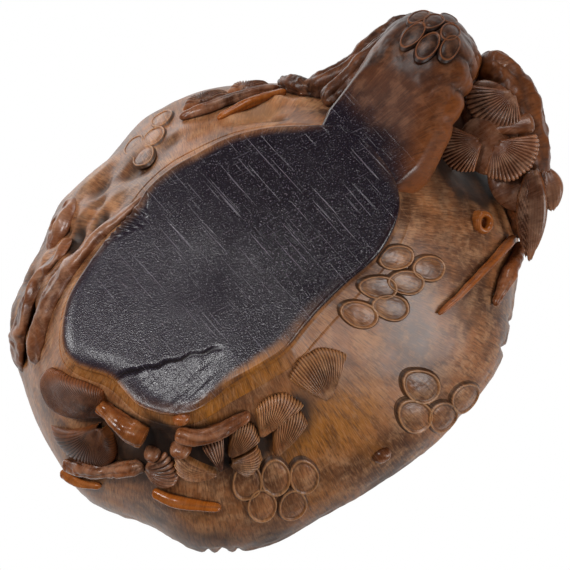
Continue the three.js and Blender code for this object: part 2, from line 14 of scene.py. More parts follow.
import bpy
import numpy as np
from mathutils import Matrix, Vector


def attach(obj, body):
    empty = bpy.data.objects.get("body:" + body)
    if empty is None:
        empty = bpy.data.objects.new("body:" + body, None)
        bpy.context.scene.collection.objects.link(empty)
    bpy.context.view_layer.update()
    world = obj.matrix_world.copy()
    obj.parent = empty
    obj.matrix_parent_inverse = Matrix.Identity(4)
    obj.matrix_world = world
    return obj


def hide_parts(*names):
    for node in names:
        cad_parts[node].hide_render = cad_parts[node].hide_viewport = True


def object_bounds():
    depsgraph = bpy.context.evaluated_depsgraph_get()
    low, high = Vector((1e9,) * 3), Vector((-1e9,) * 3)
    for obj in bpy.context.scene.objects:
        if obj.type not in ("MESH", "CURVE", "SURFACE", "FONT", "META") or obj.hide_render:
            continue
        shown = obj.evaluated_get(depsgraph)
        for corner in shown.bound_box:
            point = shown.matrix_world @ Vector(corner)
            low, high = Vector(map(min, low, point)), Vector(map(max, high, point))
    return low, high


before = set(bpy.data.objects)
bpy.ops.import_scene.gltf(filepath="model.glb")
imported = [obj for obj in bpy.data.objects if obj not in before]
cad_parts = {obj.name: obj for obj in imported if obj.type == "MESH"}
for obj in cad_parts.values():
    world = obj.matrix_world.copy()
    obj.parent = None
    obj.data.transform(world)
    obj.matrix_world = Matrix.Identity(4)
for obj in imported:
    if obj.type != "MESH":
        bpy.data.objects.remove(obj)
solid_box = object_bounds()
MM = 0.001
print("solids:", len(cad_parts), "box in mm:",
      [[round(v / MM, 1) for v in corner] for corner in solid_box])

# %% [markdown]
# ## The wall of the cup
# A horn is round, but a carved cup is not. The foot and the rim each have an outline of one radius
# for every 15 degrees, joined by a smooth closed curve. Between them the wall follows a quarter of a
# sine, so it leaves the foot steeply outwards and ends nearly upright. The solids use the same
# formula, so everything that is laid on this wall lies where the solid has it.

# %% Outlines and the wall formula
CUP_HEIGHT = 50.0
FOOT_HEIGHT = 5.5
STRAIGHT_SHARE = 0.06
FOOT_RADIUS = 27.0
FOOT_OUTLINE = np.array([
    1.296, 1.285, 1.119, 0.896, 0.793, 0.774, 0.815, 0.852, 0.944, 1.148, 1.215, 1.181,
    1.33, 1.204, 0.993, 0.852, 0.77, 0.774, 0.778, 0.796, 0.867, 0.956, 1.074, 1.233])
RIM_RADIUS = 48.8
RIM_OUTLINE = np.array([
    1.14, 1.115, 1.05, 1.02, 0.955, 0.914, 0.895, 0.916, 0.99, 1.039, 1.014, 1.076,
    1.066, 1.066, 1.086, 0.994, 0.994, 0.936, 0.973, 0.994, 0.984, 0.994, 1.04, 1.1])
RIM_DIP = 5.0
DIP_OUTLINE = np.array([
    0.2, 0.3, 0.4, 0.6, 0.8, 0.9, 1, 0.9, 0.7, 0.5, 0.3, 0.1,
    0, 0.1, 0.3, 0.6, 0.7, 0.8, 0.8, 0.7, 0.6, 0.5, 0.4, 0.3])
RELIEF_GAP = 0.36  # how far the ground of a relief stands off the wall
NEAR_DEGREES, NEAR_SHARE = 2, 0.02  # half the steps over which the wall's slopes are measured


def around(values, bearing):
    """A smooth closed curve through evenly spaced values: a cubic between each two neighbours
    whose slope at a value is half the difference of the values on its two sides."""
    count = len(values)
    place = (np.asarray(bearing, float) % 360.0) / 360.0 * count
    first = np.floor(place).astype(int)
    f = place - first
    a, b, c, d = (values[(first + k) % count] for k in (-1, 0, 1, 2))
    return b + 0.5 * f * (c - a + f * (2 * a - 5 * b + 4 * c - d + f * (3 * (b - c) + d - a)))


def rim_height(bearing):
    """The cup's height, less the rim's dip at this bearing."""
    return CUP_HEIGHT - RIM_DIP * around(DIP_OUTLINE, bearing)


def wall_radius(bearing, share):
    """Foot radius, plus the way to the rim radius times the sine of a quarter turn of the share."""
    flare = np.clip((share - STRAIGHT_SHARE) / (1 - STRAIGHT_SHARE), 0, 1)
    foot = FOOT_RADIUS * around(FOOT_OUTLINE, bearing)
    rim = RIM_RADIUS * around(RIM_OUTLINE, bearing)
    return foot + (rim - foot) * np.sin(flare * np.pi / 2)


def xyz(x, y, z=0.0):
    """Points from their three numbers, each of any shape that fits the others."""
    return np.stack(np.broadcast_arrays(x, y, z), -1)


def turned(bearing, radius, z):
    """Points at a bearing, a radius and a height."""
    angle = np.radians(bearing)
    return xyz(radius * np.cos(angle), radius * np.sin(angle), z)


def on_wall(bearing, share):
    """The point of the wall at a bearing and at a share of the rim's height."""
    return turned(bearing, wall_radius(bearing, share), rim_height(bearing) * share)


def unit(vectors):
    """Vectors divided by their length."""
    return vectors / np.maximum(np.linalg.norm(vectors, axis=-1, keepdims=True), 1e-12)


def wall_ways(bearing, share):
    """The way along the wall and the way up it, each between two points close together."""
    along = on_wall(bearing + NEAR_DEGREES, share) - on_wall(bearing - NEAR_DEGREES, share)
    low = np.maximum(share - NEAR_SHARE, STRAIGHT_SHARE)
    return along, on_wall(bearing, low + 2 * NEAR_SHARE) - on_wall(bearing, low)


def wall_out(bearing, share):
    """The way out of the wall: across the way along it and the way up it."""
    return unit(np.cross(*wall_ways(bearing, share)))


def above_wall(bearing, share, out):
    """A point of the wall, moved out square to the wall."""
    return on_wall(bearing, share) + wall_out(bearing, share) * np.asarray(out)[..., None]


def beside_wall(bearing, share, stand_off):
    """A point of the wall, moved out level."""
    return turned(bearing, wall_radius(bearing, share) + stand_off, rim_height(bearing) * share)


print("rim, along X:", round(float(wall_radius(0, 1) + wall_radius(180, 1)), 1), "mm")

# %% [markdown]
# ## Small helpers for shapes
# `step_up` goes smoothly from 0 to 1 between two values. `bumps` gives smooth random heights, which
# stand for what a knife leaves on horn: it puts a random number on each corner of a grid of cubes
# and blends them inside each cube. Adding finer and finer bumps gives a natural surface.

# %% Smooth steps and random bumps


def step_up(value, low, high):
    """0 below low, 1 above high, and 3f squared minus 2f cubed between them."""
    f = np.clip((value - low) / (high - low), 0, 1)
    return f * f * (3 - 2 * f)


def bell(value, middle, width):
    """1 at the middle, and e to the power of minus the squared distance, in widths, beside it."""
    return np.exp(-((value - middle) / width) ** 2)


def from_middle(angle, middle, turn=360.0):
    """How far an angle is from a middle, the shorter way round, below 0 on one side."""
    return (angle - middle + turn / 2) % turn - turn / 2


def circle(count):
    """Evenly spaced angles, once round."""
    return np.linspace(0, 2 * np.pi, count, endpoint=False)


def bumps(points, size, seed=0):
    """Random heights from -1 to 1 on the corners of cubes of the given size, blended smoothly."""
    place = points / size
    cell = np.floor(place).astype(np.int64)
    f = place - cell
    f = f * f * (3 - 2 * f)
    total = np.zeros(points.shape[:-1])
    for corner in np.ndindex(2, 2, 2):
        key = cell + np.array(corner)
        code = key[..., 0] * 73856093 + key[..., 1] * 19349663 + key[..., 2] * 83492791 + seed * 977
        code = (code ^ (code >> 15)) * 1103515245 & 0x7FFFFFFF
        code = (code ^ (code >> 13)) * 1274126177 & 0x7FFFFFFF
        height = ((code >> 8) & 0xFFFF) / 32767.5 - 1
        total += height * np.prod(np.where(np.array(corner) == 1, f, 1 - f), axis=-1)
    return total


def rough_bumps(points, size, seed=0):
    """Three layers of bumps, each half as wide and half as high as the one before."""
    return sum(bumps(points, size / 2 ** k, seed + k) / 2 ** k for k in range(3)) / 1.75


print("rough bumps at three points:", rough_bumps(np.eye(3) * CUP_HEIGHT, 2.0).round(2))

# %% [markdown]
# ## From rings of points to a closed mesh
# Each form here is a skin: a stack of closed rings, with a pole in the middle of the first and of the
# last ring. Numbering the points ring by ring makes the faces plain arithmetic on arrays. The faces
# must point outwards, so the volume that they enclose is measured, and the faces are turned round
# when it comes out negative.
#
# Four marks are stored with each point for the horn finish: `rise` (0 in a groove, 1 on a ridge),
# `glow` (painted light, where the horn is thin and light comes through), `gloom` (where old dirt
# stays, and painted shade in grooves, hollows and under the handle) and `heart` (where the cut goes
# through the black heart of the horn).

# %% Skins and pieces
pieces = {}
MARKS = ("rise", "glow", "gloom", "heart")
BOX_MARGIN = 0.002  # kept free inside the box of the solids


def new_object(name, data):
    """An object with this data, put in the scene."""
    made = bpy.data.objects.new(name, data)
    bpy.context.collection.objects.link(made)
    return made


def closed_skin(rings, **marks):
    """Points, four-sided faces, three-sided end faces and marks of a stack of closed rings."""
    count, around_count = rings.shape[:2]
    ends = rings[[0, -1]].mean(axis=1)
    points = np.concatenate([rings.reshape(-1, 3), ends])
    index = np.arange(count * around_count).reshape(count, around_count)
    low, high = index[:-1], index[1:]
    quads = np.stack([low, np.roll(low, -1, 1), np.roll(high, -1, 1), high], -1).reshape(-1, 4)
    first, last = index[0], index[-1]
    top = np.full(around_count, len(points) - 2)
    caps = np.concatenate([
        np.stack([top, np.roll(first, -1), first], -1),
        np.stack([top + 1, last, np.roll(last, -1)], -1)])
    a, b, c, d = (points[quads[:, k]] for k in range(4))
    volume = np.einsum("ij,ij->", np.cross(a, b), c) + np.einsum("ij,ij->", np.cross(a, c), d)
    if volume < 0:
        quads, caps = quads[:, ::-1], caps[:, ::-1]
    kept = {}
    for mark in MARKS:
        full = np.broadcast_to(marks.get(mark, 0.0), rings.shape[:2]).astype(float)
        kept[mark] = np.concatenate([full.ravel(), full[[0, -1]].mean(axis=1)])
    return points, quads, caps, kept


def add_piece(node, skins, finish="carved_horn"):
    """Makes one mesh from one or more skins. It stands for the solid of the same name."""
    offsets = np.cumsum([0] + [len(skin[0]) for skin in skins])
    points = np.concatenate([skin[0] for skin in skins])
    quads, caps = (np.concatenate([skin[k] + offset for skin, offset in zip(skins, offsets)])
                   for k in (1, 2))
    low, high = np.array(solid_box) / MM
    points = np.clip(points, low + BOX_MARGIN, high - BOX_MARGIN)
    mesh = bpy.data.meshes.new(node + "_carving")
    mesh.vertices.add(len(points))
    mesh.vertices.foreach_set("co", (points * MM).ravel())
    corners = np.concatenate([quads.ravel(), caps.ravel()])
    starts = np.concatenate([np.arange(len(quads)) * 4, len(quads) * 4 + np.arange(len(caps)) * 3])
    mesh.loops.add(len(corners))
    mesh.loops.foreach_set("vertex_index", corners)
    mesh.polygons.add(len(starts))
    mesh.polygons.foreach_set("loop_start", starts)
    mesh.polygons.foreach_set("use_smooth", np.ones(len(starts), bool))
    for mark in MARKS:
        layer = mesh.attributes.new(mark, "FLOAT", "POINT")
        values = np.concatenate([skin[3][mark] for skin in skins])
        layer.data.foreach_set("value", np.clip(values, 0, 1))
    mesh.update(calc_edges=True)
    mesh.validate()
    mesh.materials.append(FINISHES[finish])
    piece = new_object(node + "_carving", mesh)
    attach(piece, "root")
    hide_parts(node)
    pieces[node] = len(quads) * 2 + len(caps)


# %% [markdown]
# ## Shader maths as plain expressions
# A finish is a network of nodes, and a formula is easier to read than a network. `Wire` holds one
# output of a node, and its plus, minus and times each add a Math node. Everything that isn't
# arithmetic comes from one method, `node`. `paint` lays one colour after another over the first, as
# a lacquerer would, each with a factor that says where and how thickly.

# %% A wire and a bench of nodes


class Wire:
    """One number on its way through the nodes of a finish."""

    def __init__(self, bench, socket):
        self.bench = bench
        self.socket = socket

    def _math(self, operation, *others):
        return self.bench.node("ShaderNodeMath", {"operation": operation}, [self, *others])

    def __add__(self, other):
        return self._math("ADD", other)

    def __sub__(self, other):
        return self._math("SUBTRACT", other)

    def __mul__(self, other):
        return self._math("MULTIPLY", other)

    def __rsub__(self, other):
        return self.bench.node("ShaderNodeMath", {"operation": "SUBTRACT"}, [other, self])

    __radd__ = __add__
    __rmul__ = __mul__

    def larger(self, other):
        return self._math("MAXIMUM", other)

    def between(self, low, high):
        """0 below low, 1 above high, and smooth between them."""
        return self.bench.node("ShaderNodeMapRange", {"interpolation_type": "SMOOTHSTEP"},
                               {"Value": self, "From Min": low, "From Max": high}, "Result")


class Bench:
    """The nodes of one finish, or of the world."""

    def __init__(self, owner):
        self.owner = owner
        owner.use_nodes = True
        self.tree = owner.node_tree
        self.tree.nodes.clear()

    def node(self, kind, settings=None, inputs=(), output=0):
        """A node of any kind: its settings first, then a value or a wire for each socket."""
        made = self.tree.nodes.new(kind)
        for key, value in (settings or {}).items():
            setattr(made, key, value)
        pairs = inputs.items() if isinstance(inputs, dict) else enumerate(inputs)
        for key, value in pairs:
            if isinstance(value, Wire):
                self.tree.links.new(value.socket, made.inputs[key])
            elif value is not None:
                made.inputs[key].default_value = value
        return Wire(self, made.outputs[output]) if len(made.outputs) else None

    def mark(self, name):
        """One of the marks that are stored with each point."""
        return self.node("ShaderNodeAttribute", {"attribute_name": name}, {}, "Fac")

    def paint(self, colour, *coats):
        """A colour with others laid over it: the first number of each coat is its factor."""
        for factor, over in coats:
            colour = self.node("ShaderNodeMix", {"data_type": "RGBA"},
                               {0: factor, 6: colour, 7: over}, 2)
        return colour

    def vector(self, operation, first, second=None, scale=None):
        """A vector worked out from one or two others."""
        return self.node("ShaderNodeVectorMath", {"operation": operation},
                         {0: first, 1: second, "Scale": scale}, "Vector")

    def noise(self, place, stretch, turn=0.0, detail=3.0, roughness=0.55):
        """Noise in cells of the given size along X, Y and Z, in mm, turned about Z."""
        sized = self.node("ShaderNodeMapping", {"vector_type": "TEXTURE"}, {
            "Vector": place, "Rotation": (0, 0, math.radians(turn)),
            "Scale": tuple(size * MM for size in stretch)})
        return self.node("ShaderNodeTexNoise", {}, {
            "Vector": sized, "Scale": 1.0, "Detail": detail, "Roughness": roughness}, "Fac")


def tone(red, green, blue):
    """A colour as seen on a screen, 0 to 255, made linear as the nodes want it."""
    seen = np.array([red, green, blue]) / 255
    linear = np.where(seen <= 0.04045, seen / 12.92, ((seen + 0.055) / 1.055) ** 2.4)
    return (*linear.tolist(), 1.0)


# %% [markdown]
# ## The horn finish
# Horn is a bundle of fine hairs that run from the foot to the rim. Cut across, as on the foot's
# face, they are specks. Cut along, as on the wall and the trunk, they are streaks that point away
# from the cup's axis. So the streaks are noise that changes fast round the cup and slowly away from
# the axis: its first two numbers are the way out from the axis, as a unit vector, and its third is
# the distance from the axis plus the height.
#
# On top come the things that age gives a carving, and painted light. Recesses are painted dark: the
# dark wax and dirt they hold, and painted shade, found with an ambient occlusion node and the
# `gloom` and `rise` marks. Edges are rubbed pale. Thin places glow amber, a painted light that comes
# through the horn. The black heart of the horn shows on the foot, with a painted grey sheen towards
# the left end, pale specks and long fine scratches. The occlusion node doesn't count there, because
# the floor is so close below the foot that the whole face would be a recess to it. The gloss is that
# of waxed horn, a little rougher in the recesses.

# %% One recipe for all the horn finishes
HEART, SHEEN_GREY_HEART, HEART_SPECK = tone(24, 16, 25), tone(42, 35, 44), tone(136, 126, 138)
# sizes of the noise's cells in mm
CLOUD, MOTTLE, SPECK = (15, 15, 15), (4, 4, 4), (0.3, 0.3, 0.3)
BAND, STREAK, HAIR = (2.2, 2.2, 16), (0.55, 0.55, 6.5), (0.26, 0.26, 3.2)
LONG_CUT, SHORT_CUT = (0.34, 15, 15), (7, 0.3, 9)
GRAIN_RADIUS, RECESS_REACH, BUMP_DEPTH = 40, 2.2, 0.12
# Where the painted grey sheen on the black heart starts, and where it is full
SHEEN_FROM, SHEEN_TO = 15, -35  # along X


def horn_finish(name, tones, gloss, grain_depth, shine):
    """Clouds of dark and body horn, then coats: mottle, a painted amber glow, bands, streaks, hairs,
    rubbed edges, scratches, the black heart with a painted grey sheen, and dirt with painted shade.
    `grain_depth` is the strength of the streaks."""
    bench = Bench(bpy.data.materials.new(name))
    dark, body, pale, amber, patina = (tone(*seen) for seen in tones)
    place = bench.node("ShaderNodeTexCoord", {}, {}, "Object")
    rise, glow, gloom, heart = (bench.mark(mark) for mark in MARKS)
    level = bench.vector("MULTIPLY", place, (1, 1, 0))
    outwards = bench.vector("SCALE", bench.vector("NORMALIZE", level), scale=GRAIN_RADIUS * MM)
    height_only = bench.vector("MULTIPLY", place, (0, 0, 1))
    reach = bench.node("ShaderNodeVectorMath", {"operation": "LENGTH"}, [level], "Value")
    lift = bench.node("ShaderNodeCombineXYZ", {}, {"Z": reach})
    grain = bench.vector("ADD", bench.vector("ADD", outwards, lift), height_only)

    clouds = bench.noise(place, CLOUD, detail=4)
    mottle = bench.noise(place, MOTTLE, detail=5, roughness=0.65)
    bands = bench.noise(grain, BAND, detail=4, roughness=0.7)
    streaks = bench.noise(grain, STREAK, roughness=0.6)
    hairs = bench.noise(grain, HAIR, detail=2, roughness=0.6)
    specks = bench.noise(place, SPECK, detail=1, roughness=0.6)
    long_cuts = bench.noise(place, LONG_CUT, turn=-9, detail=1).between(0.64, 0.72)
    short_cuts = bench.noise(place, SHORT_CUT, turn=8, detail=1).between(0.67, 0.75)
    scratch = long_cuts.larger(short_cuts * 0.6)
    # Painted sheen: the black heart is painted a lighter grey towards the left end of the foot
    left = bench.node("ShaderNodeSeparateXYZ", {}, [place], "X")
    left = left.between(SHEEN_FROM * MM, SHEEN_TO * MM)
    # Painted shade: occlusion darkens the recesses with the patina colour, for their shade as well as
    # the dirt in them; grooves (low rise) and the gloom mark do the same
    open_sky = bench.node("ShaderNodeAmbientOcclusion", {"samples": 8},
                          {"Distance": RECESS_REACH * MM}, "AO")
    recess = (1 - open_sky.between(0.10, 0.80)) * (1 - heart)
    dirt_and_shade = gloom.larger((0.40 - rise) * 1.8).larger(recess * 0.85)
    dirt_and_shade = dirt_and_shade * (0.80 + 0.5 * (mottle - 0.5))

    black = bench.paint(
        HEART, (left * (0.6 + 0.8 * mottle), SHEEN_GREY_HEART),
        (specks.between(0.60, 0.74) * 0.36, HEART_SPECK), (scratch * 0.34, HEART_SPECK))
    # Painted light: the glow mark lays amber where light would come through thin horn
    colour = bench.paint(
        dark, (clouds.between(0.38, 0.62), body), (mottle.between(0.46, 0.66) * 0.45, pale),
        (glow * (0.65 + 0.7 * bands), amber),
        (bands.between(0.50, 0.64) * (0.9 * grain_depth), dark),
        (streaks.between(0.53, 0.63) * grain_depth, dark),
        (hairs.between(0.54, 0.64) * (0.5 * grain_depth), pale),
        (hairs.between(0.46, 0.36) * (0.7 * grain_depth), patina),
        (rise.between(0.62, 1.0) * (1 - recess) * 0.35, pale),
        (scratch * 0.16, pale), (heart, black), (dirt_and_shade.between(0.05, 1.0), patina))
    roughness = (gloss + heart * (0.08 * left - 0.18) + 0.18 * (mottle - 0.5) + 0.18 * dirt_and_shade
                 + 0.12 * (hairs - 0.5))
    bump = bench.node("ShaderNodeBump", {}, {
        "Strength": 0.5, "Distance": BUMP_DEPTH * MM,
        "Height": hairs * 0.2 + mottle * 0.4 + heart * (specks * 0.8 - scratch * 0.8)}, "Normal")
    surface = bench.node("ShaderNodeBsdfPrincipled", {}, {
        "Base Color": colour, "Roughness": roughness, "Normal": bump, "Specular IOR Level": shine,
        "Subsurface Weight": 0.10, "Subsurface Scale": 0.001,
        "Subsurface Radius": (1.0, 0.45, 0.18)}, "BSDF")
    bench.node("ShaderNodeOutputMaterial", {}, {"Surface": surface})
    return bench.owner


# %% The five finishes
# their tones are dark, body, pale, amber and patina, as seen on a screen
WALL_TONES = (92, 55, 31), (160, 102, 60), (198, 148, 106), (166, 102, 30), (25, 17, 14)
TRUNK_TONES = (42, 22, 13), (78, 43, 25), (128, 84, 58), (158, 84, 26), (22, 15, 14)
CARVED_TONES = (70, 38, 22), (118, 70, 44), (186, 142, 114), (160, 86, 30), (34, 25, 23)
AMBER_TONES = (76, 37, 15), (122, 66, 29), (180, 126, 84), (172, 92, 24), (46, 28, 20)
FINISHES = {
    slot: horn_finish(name, tones, gloss, grain_depth, shine)
    for slot, name, tones, gloss, grain_depth, shine in (
        ("horn", "polished_wall_horn", WALL_TONES, 0.38, 0.5, 0.5),
        ("dark_horn", "dark_foot_horn", WALL_TONES, 0.38, 0.5, 0.4),
        ("trunk_horn", "brown_trunk_horn", TRUNK_TONES, 0.38, 0.3, 0.35),
        ("carved_horn", "carved_brown_horn", CARVED_TONES, 0.30, 0.22, 0.4),
        ("amber_horn", "thin_amber_horn", AMBER_TONES, 0.24, 0.2, 0.4))}
print("finishes:", ", ".join(finish.name for finish in FINISHES.values()))

# %% [markdown]
# ## Places on the wall
# What is carved by hand on the wall or stained on it, and what is painted on it as light and shade,
# is listed as places: a bearing, a share, a width and a strength. Each one is a bell of the distance
# to its middle. Hills and pits at the left end look like rock. Amber is a painted glow where the
# horn is thin and light comes through. Dark is old dirt under the carving, a darker tone near the rim
# and on the far side, and painted shade in the pits, round the left fans and in the hollow under the
# handle. Pale is a painted sheen, a reflection of the light painted into the colour.

# %% Hills, pits, stains, painted shade and painted sheen
HILLS = [  # bearing, share, width in mm, strength
    (232.5, 0.53, 4.2, 0.9), (237, 0.37, 3.6, 0.8), (221, 0.5, 3.4, 0.8), (214, 0.34, 3, 0.7),
    (246, 0.5, 5, 0.6), (207, 0.66, 4, 0.7), (243, 0.24, 3.4, 0.6), (224, 0.72, 4.6, 0.6),
    (320, 0.36, 2.6, 1), (312, 0.39, 2.4, 1), (304, 0.37, 2.4, 0.9), (298, 0.3, 2.6, 0.8),
    (326, 0.6, 4, 0.9), (316, 0.66, 3.6, 0.7), (203, 0.3, 3.2, 0.7), (196, 0.45, 3.4, 0.7),
    (262, 0.38, 5.5, 0.9), (281, 0.28, 4.5, 0.7), (252, 0.52, 5, 0.9), (271, 0.62, 6, 0.7)]
PITS = [
    (225.5, 0.325, 2.6, 2.2), (232.5, 0.22, 2.4, 1.9), (212.5, 0.27, 2.2, 1.8), (205, 0.47, 2.6, 2),
    (198.5, 0.6, 2.4, 2), (229, 0.43, 1.6, 1.2), (240.5, 0.3, 1.6, 1.1), (217, 0.62, 2.2, 1.2),
    (316, 0.19, 1.8, 1.8), (311, 0.27, 3.6, 1.3), (303, 0.24, 3, 0.8), (260, 0.24, 2.6, 0.9),
    (276, 0.25, 2.4, 0.9), (256, 0.3, 2.6, 1.2), (246, 0.38, 2.6, 1.3), (153.5, 0.28, 2, 2),
    (143, 0.15, 1.9, 1.6), (127, 0.1, 1.6, 1.4), (2, 0.5, 6, 1.4)]
AMBER_PLACES = [
    (88.5, 0.46, 8, 0.95), (99, 0.36, 6.5, 0.95), (77.5, 0.45, 6, 0.65), (104, 0.78, 7, 0.4),
    (60, 0.3, 4, 0.25), (127, 0.1, 2.4, 1), (205, 0.47, 2.8, 0.9), (198, 0.6, 2.8, 0.9),
    (134, 0.62, 5, 0.3), (84, 0.72, 3, 0.35)]
# Old dirt, and painted shade in the pits, round the left fans and in the hollow under the handle
DARK_AND_SHADED_PLACES = [
    (97, 0.27, 4, 1), (102, 0.33, 4, 0.85), (110, 0.34, 4.2, 0.85), (119, 0.34, 4, 0.85),
    (5, 0.42, 7, 1), (356, 0.5, 8, 1), (6, 0.62, 6, 1), (3, 0.8, 7, 1), (12, 0.3, 5, 0.4),
    (10, 0.55, 3.5, 0.6), (100, 0.95, 8, 0.6), (118, 0.93, 8, 0.6), (135, 0.86, 8, 0.55),
    (84, 0.97, 6, 0.45), (147, 0.78, 7, 0.35), (126, 0.75, 6, 0.35), (153.5, 0.28, 2.8, 0.9),
    (143, 0.15, 2.6, 0.9), (225.5, 0.325, 3.4, 0.8), (232.5, 0.22, 3.4, 0.8), (212.5, 0.27, 3, 0.7),
    (316, 0.19, 2, 0.9), (292, 0.28, 5, 0.35), (350, 0.45, 9, 0.8), (120, 0.3, 5, 0.5),
    (60, 0.16, 5, 0.25), (285, 0.46, 8, 0.45), (264, 0.42, 7, 0.4), (240, 0.42, 8, 0.4),
    (222, 0.6, 7, 0.35), (164, 0.24, 8, 0.6), (154, 0.3, 6.5, 0.8), (147, 0.22, 5, 0.8),
    (139, 0.24, 5.5, 0.8), (131, 0.27, 5, 0.8), (124, 0.28, 5, 0.6), (152, 0.4, 5, 0.6),
    (140, 0.36, 4.5, 0.6)]
# Painted sheen: pale where the wall would reflect the light
PAINTED_SHEEN_PLACES = [
    (310, 0.29, 4.5, 0.9), (304, 0.25, 4, 0.8), (40, 0.6, 9, 0.35), (250, 0.2, 5, 0.4)]


def spots(points, places, seed):
    """The sum of bells round some places on the wall, with an outline that wanders a little."""
    total = np.zeros(points.shape[:-1])
    sway = 1 + 0.30 * bumps(points, 4.0, seed)
    for bearing, share, width, strength in places:
        distance = np.linalg.norm(points - on_wall(bearing, share), axis=-1) * sway
        total += strength * bell(distance, 0, width)
    return total


print("places on the wall:", sum(map(len, (HILLS, PITS, AMBER_PLACES, DARK_AND_SHADED_PLACES, PAINTED_SHEEN_PLACES))))

# %% [markdown]
# ## The foot
# The foot is sawn flat across the horn and polished, so it shows the cut ends of the hairs. Its skin
# starts with a pole in the middle of the flat face. Rings of growing width spread to the edge, roll
# over it, climb the side and close on top, inside the cup, where nobody looks. Towards the trunk the
# edge isn't rolled, because the trunk carries on from the face.
#
# At the left end the face was cut once more at a slant, and a crack follows that cut. On the far
# edge a row of small chips is missing, like the gaps in a comb.

# %% The foot's rings
FOOT_COLUMNS, FACE_RINGS, EDGE_RINGS, SIDE_RINGS = 560, 70, 14, 12
TRUNK_BEARING, LEFT_BEARING, CHIPS_BEARING = -2, 172, 234
bearings = np.linspace(0, 360, FOOT_COLUMNS, endpoint=False)
trunk_side = 1 - step_up(np.abs(from_middle(bearings, TRUNK_BEARING)), 16, 27)
left_end = bell(bearings, LEFT_BEARING, 34)
roll_width = 1.0 + 4.2 * left_end - 0.5 * bell(bearings, 95, 40)
roll_height = (1.0 + 0.9 * left_end) * (1 - 0.95 * trunk_side)
edge = wall_radius(bearings, 0.0)


def foot_rings():
    """Flat rings to the edge, a quarter circle over the edge, the side up the wall, and the top."""
    rings = [turned(bearings, (edge - roll_width) * reach, 0.0)
             for reach in np.linspace(0.01, 1, FACE_RINGS) ** 0.8]
    for q in np.linspace(0.08, 1, EDGE_RINGS) * np.pi / 2:
        radius = edge - roll_width * (1 - np.sin(q))
        rings.append(turned(bearings, radius, roll_height * (1 - np.cos(q))))
    for rise in np.linspace(0.1, 1, SIDE_RINGS):
        z = roll_height + (FOOT_HEIGHT - roll_height) * rise
        rings.append(turned(bearings, wall_radius(bearings, z / rim_height(bearings)), z))
    top = rings[-1]
    return np.array([*rings, top * [0.96, 0.96, 1] + [0, 0, 0.1], top * [0.3, 0.3, 1]])


rings = foot_rings()
x, y, z = np.moveaxis(rings, -1, 0)  # these follow the rings when they change
flat = 1 - step_up(z, 0.0, 2.2)
sides = step_up(1 - flat, 0.15, 0.80)
inset = edge - np.hypot(x, y)
print("foot:", rings.shape[0], "rings of", FOOT_COLUMNS, "points")

# %% The slanted cut, the crack and the chips
CRACK_START, CRACK_END = np.array([-29.5, 8.6]), np.array([-9.5, 15.2])
crack_x, crack_y = unit(CRACK_END - CRACK_START)
from_x, from_y = x - CRACK_START[0], y - CRACK_START[1]
past, along_crack = from_y * crack_x - from_x * crack_y, from_x * crack_x + from_y * crack_y
wander = past + 0.35 * bumps(xyz(x, y), 2.2, 5)
facet = step_up(wander, 0.0, 0.5) * step_up(along_crack, -4, 0) * (1 - step_up(along_crack, 17, 23))
crack = bell(wander, 0.1, 0.32) * step_up(along_crack, -1, 1.5) * (1 - step_up(along_crack, 19, 22))
crumple = 0.22 * bumps(xyz(along_crack * 0.5 + past, past * 0.35), 1.3, 12)
slant = 0.15 * np.clip(past, 0, 8) + 0.06 * np.clip(16 - along_crack, 0, 16)
far_edge = bell(bearings, CHIPS_BEARING, 13)
angle = np.radians(bearings)
comb = np.abs(np.sin(34 * angle + 2 * np.sin(11 * angle)))
chips = far_edge * step_up(comb, 0.25, 0.8) * (1 - step_up(inset, 0.6, 4.2 * far_edge + 0.7))
unflat = 0.05 * (1 + bumps(rings, 9, 3))
lift = facet * (0.10 + slant + 0.5 * np.abs(crumple)) + 0.30 * crack + 1.3 * chips + unflat
rings[..., 2] += flat * lift
side_work = 0.16 * rough_bumps(rings, 3.2, 11) * step_up(z, 0.6, 2) * (1 - step_up(z, 3.6, 5.0))
rings[:-2] -= unit(rings[:-2] * [1, 1, 0]) * np.abs(side_work[:-2, :, None])
rings[..., :2] *= (1 - 0.003 * step_up(z, 5.0, 5.3))[..., None]  # just under the bowl's base
print("the face is cut away by up to", (flat * lift).max().round(2), "mm")

# %% The foot's marks
HEART_MIDDLE, HEART_REACH = -3.5, 41.0


def black_heart(points, reach=HEART_REACH):
    """1 nearer than the reach to the middle of the black heart, with an edge that wanders."""
    distance = np.hypot(points[..., 0] - HEART_MIDDLE, points[..., 1]) + 1.2 * bumps(points, 3.0, 6)
    return 1 - step_up(distance, reach - 4, reach + 4)


# Painted light: an amber glow where the foot's edge is thin
amber_edge = bell(bearings, 108, 32) * (1 - step_up(inset, 0.9, 3.0))
amber_edge = amber_edge * (0.75 + 0.35 * bumps(rings, 2.5, 2))
far_rim = (1 - trunk_side) * bell(from_middle(bearings, 0), -75, 62) * (1 - step_up(inset, 0.2, 2.2))
heart = black_heart(rings) * (1 - sides) * (1 - 0.75 * far_rim) * (1 - np.clip(amber_edge, 0, 1))
# Old dirt and painted shade in the pits near the foot, from the dark places on the wall
stains_and_shade = np.clip(spots(rings, DARK_AND_SHADED_PLACES, 32), 0, 1) * sides
glow = np.clip(amber_edge + (0.5 * left_end + spots(rings, AMBER_PLACES, 31)) * sides, 0, 1)
gloom = np.maximum(np.maximum(0.9 * crack, 0.35 * chips), stains_and_shade)
foot_skin = closed_skin(rings, rise=0.5 - 0.5 * crack, glow=glow, heart=heart, gloom=gloom)
add_piece("foot", [foot_skin], "dark_horn")
print("foot:", pieces["foot"], "triangles")

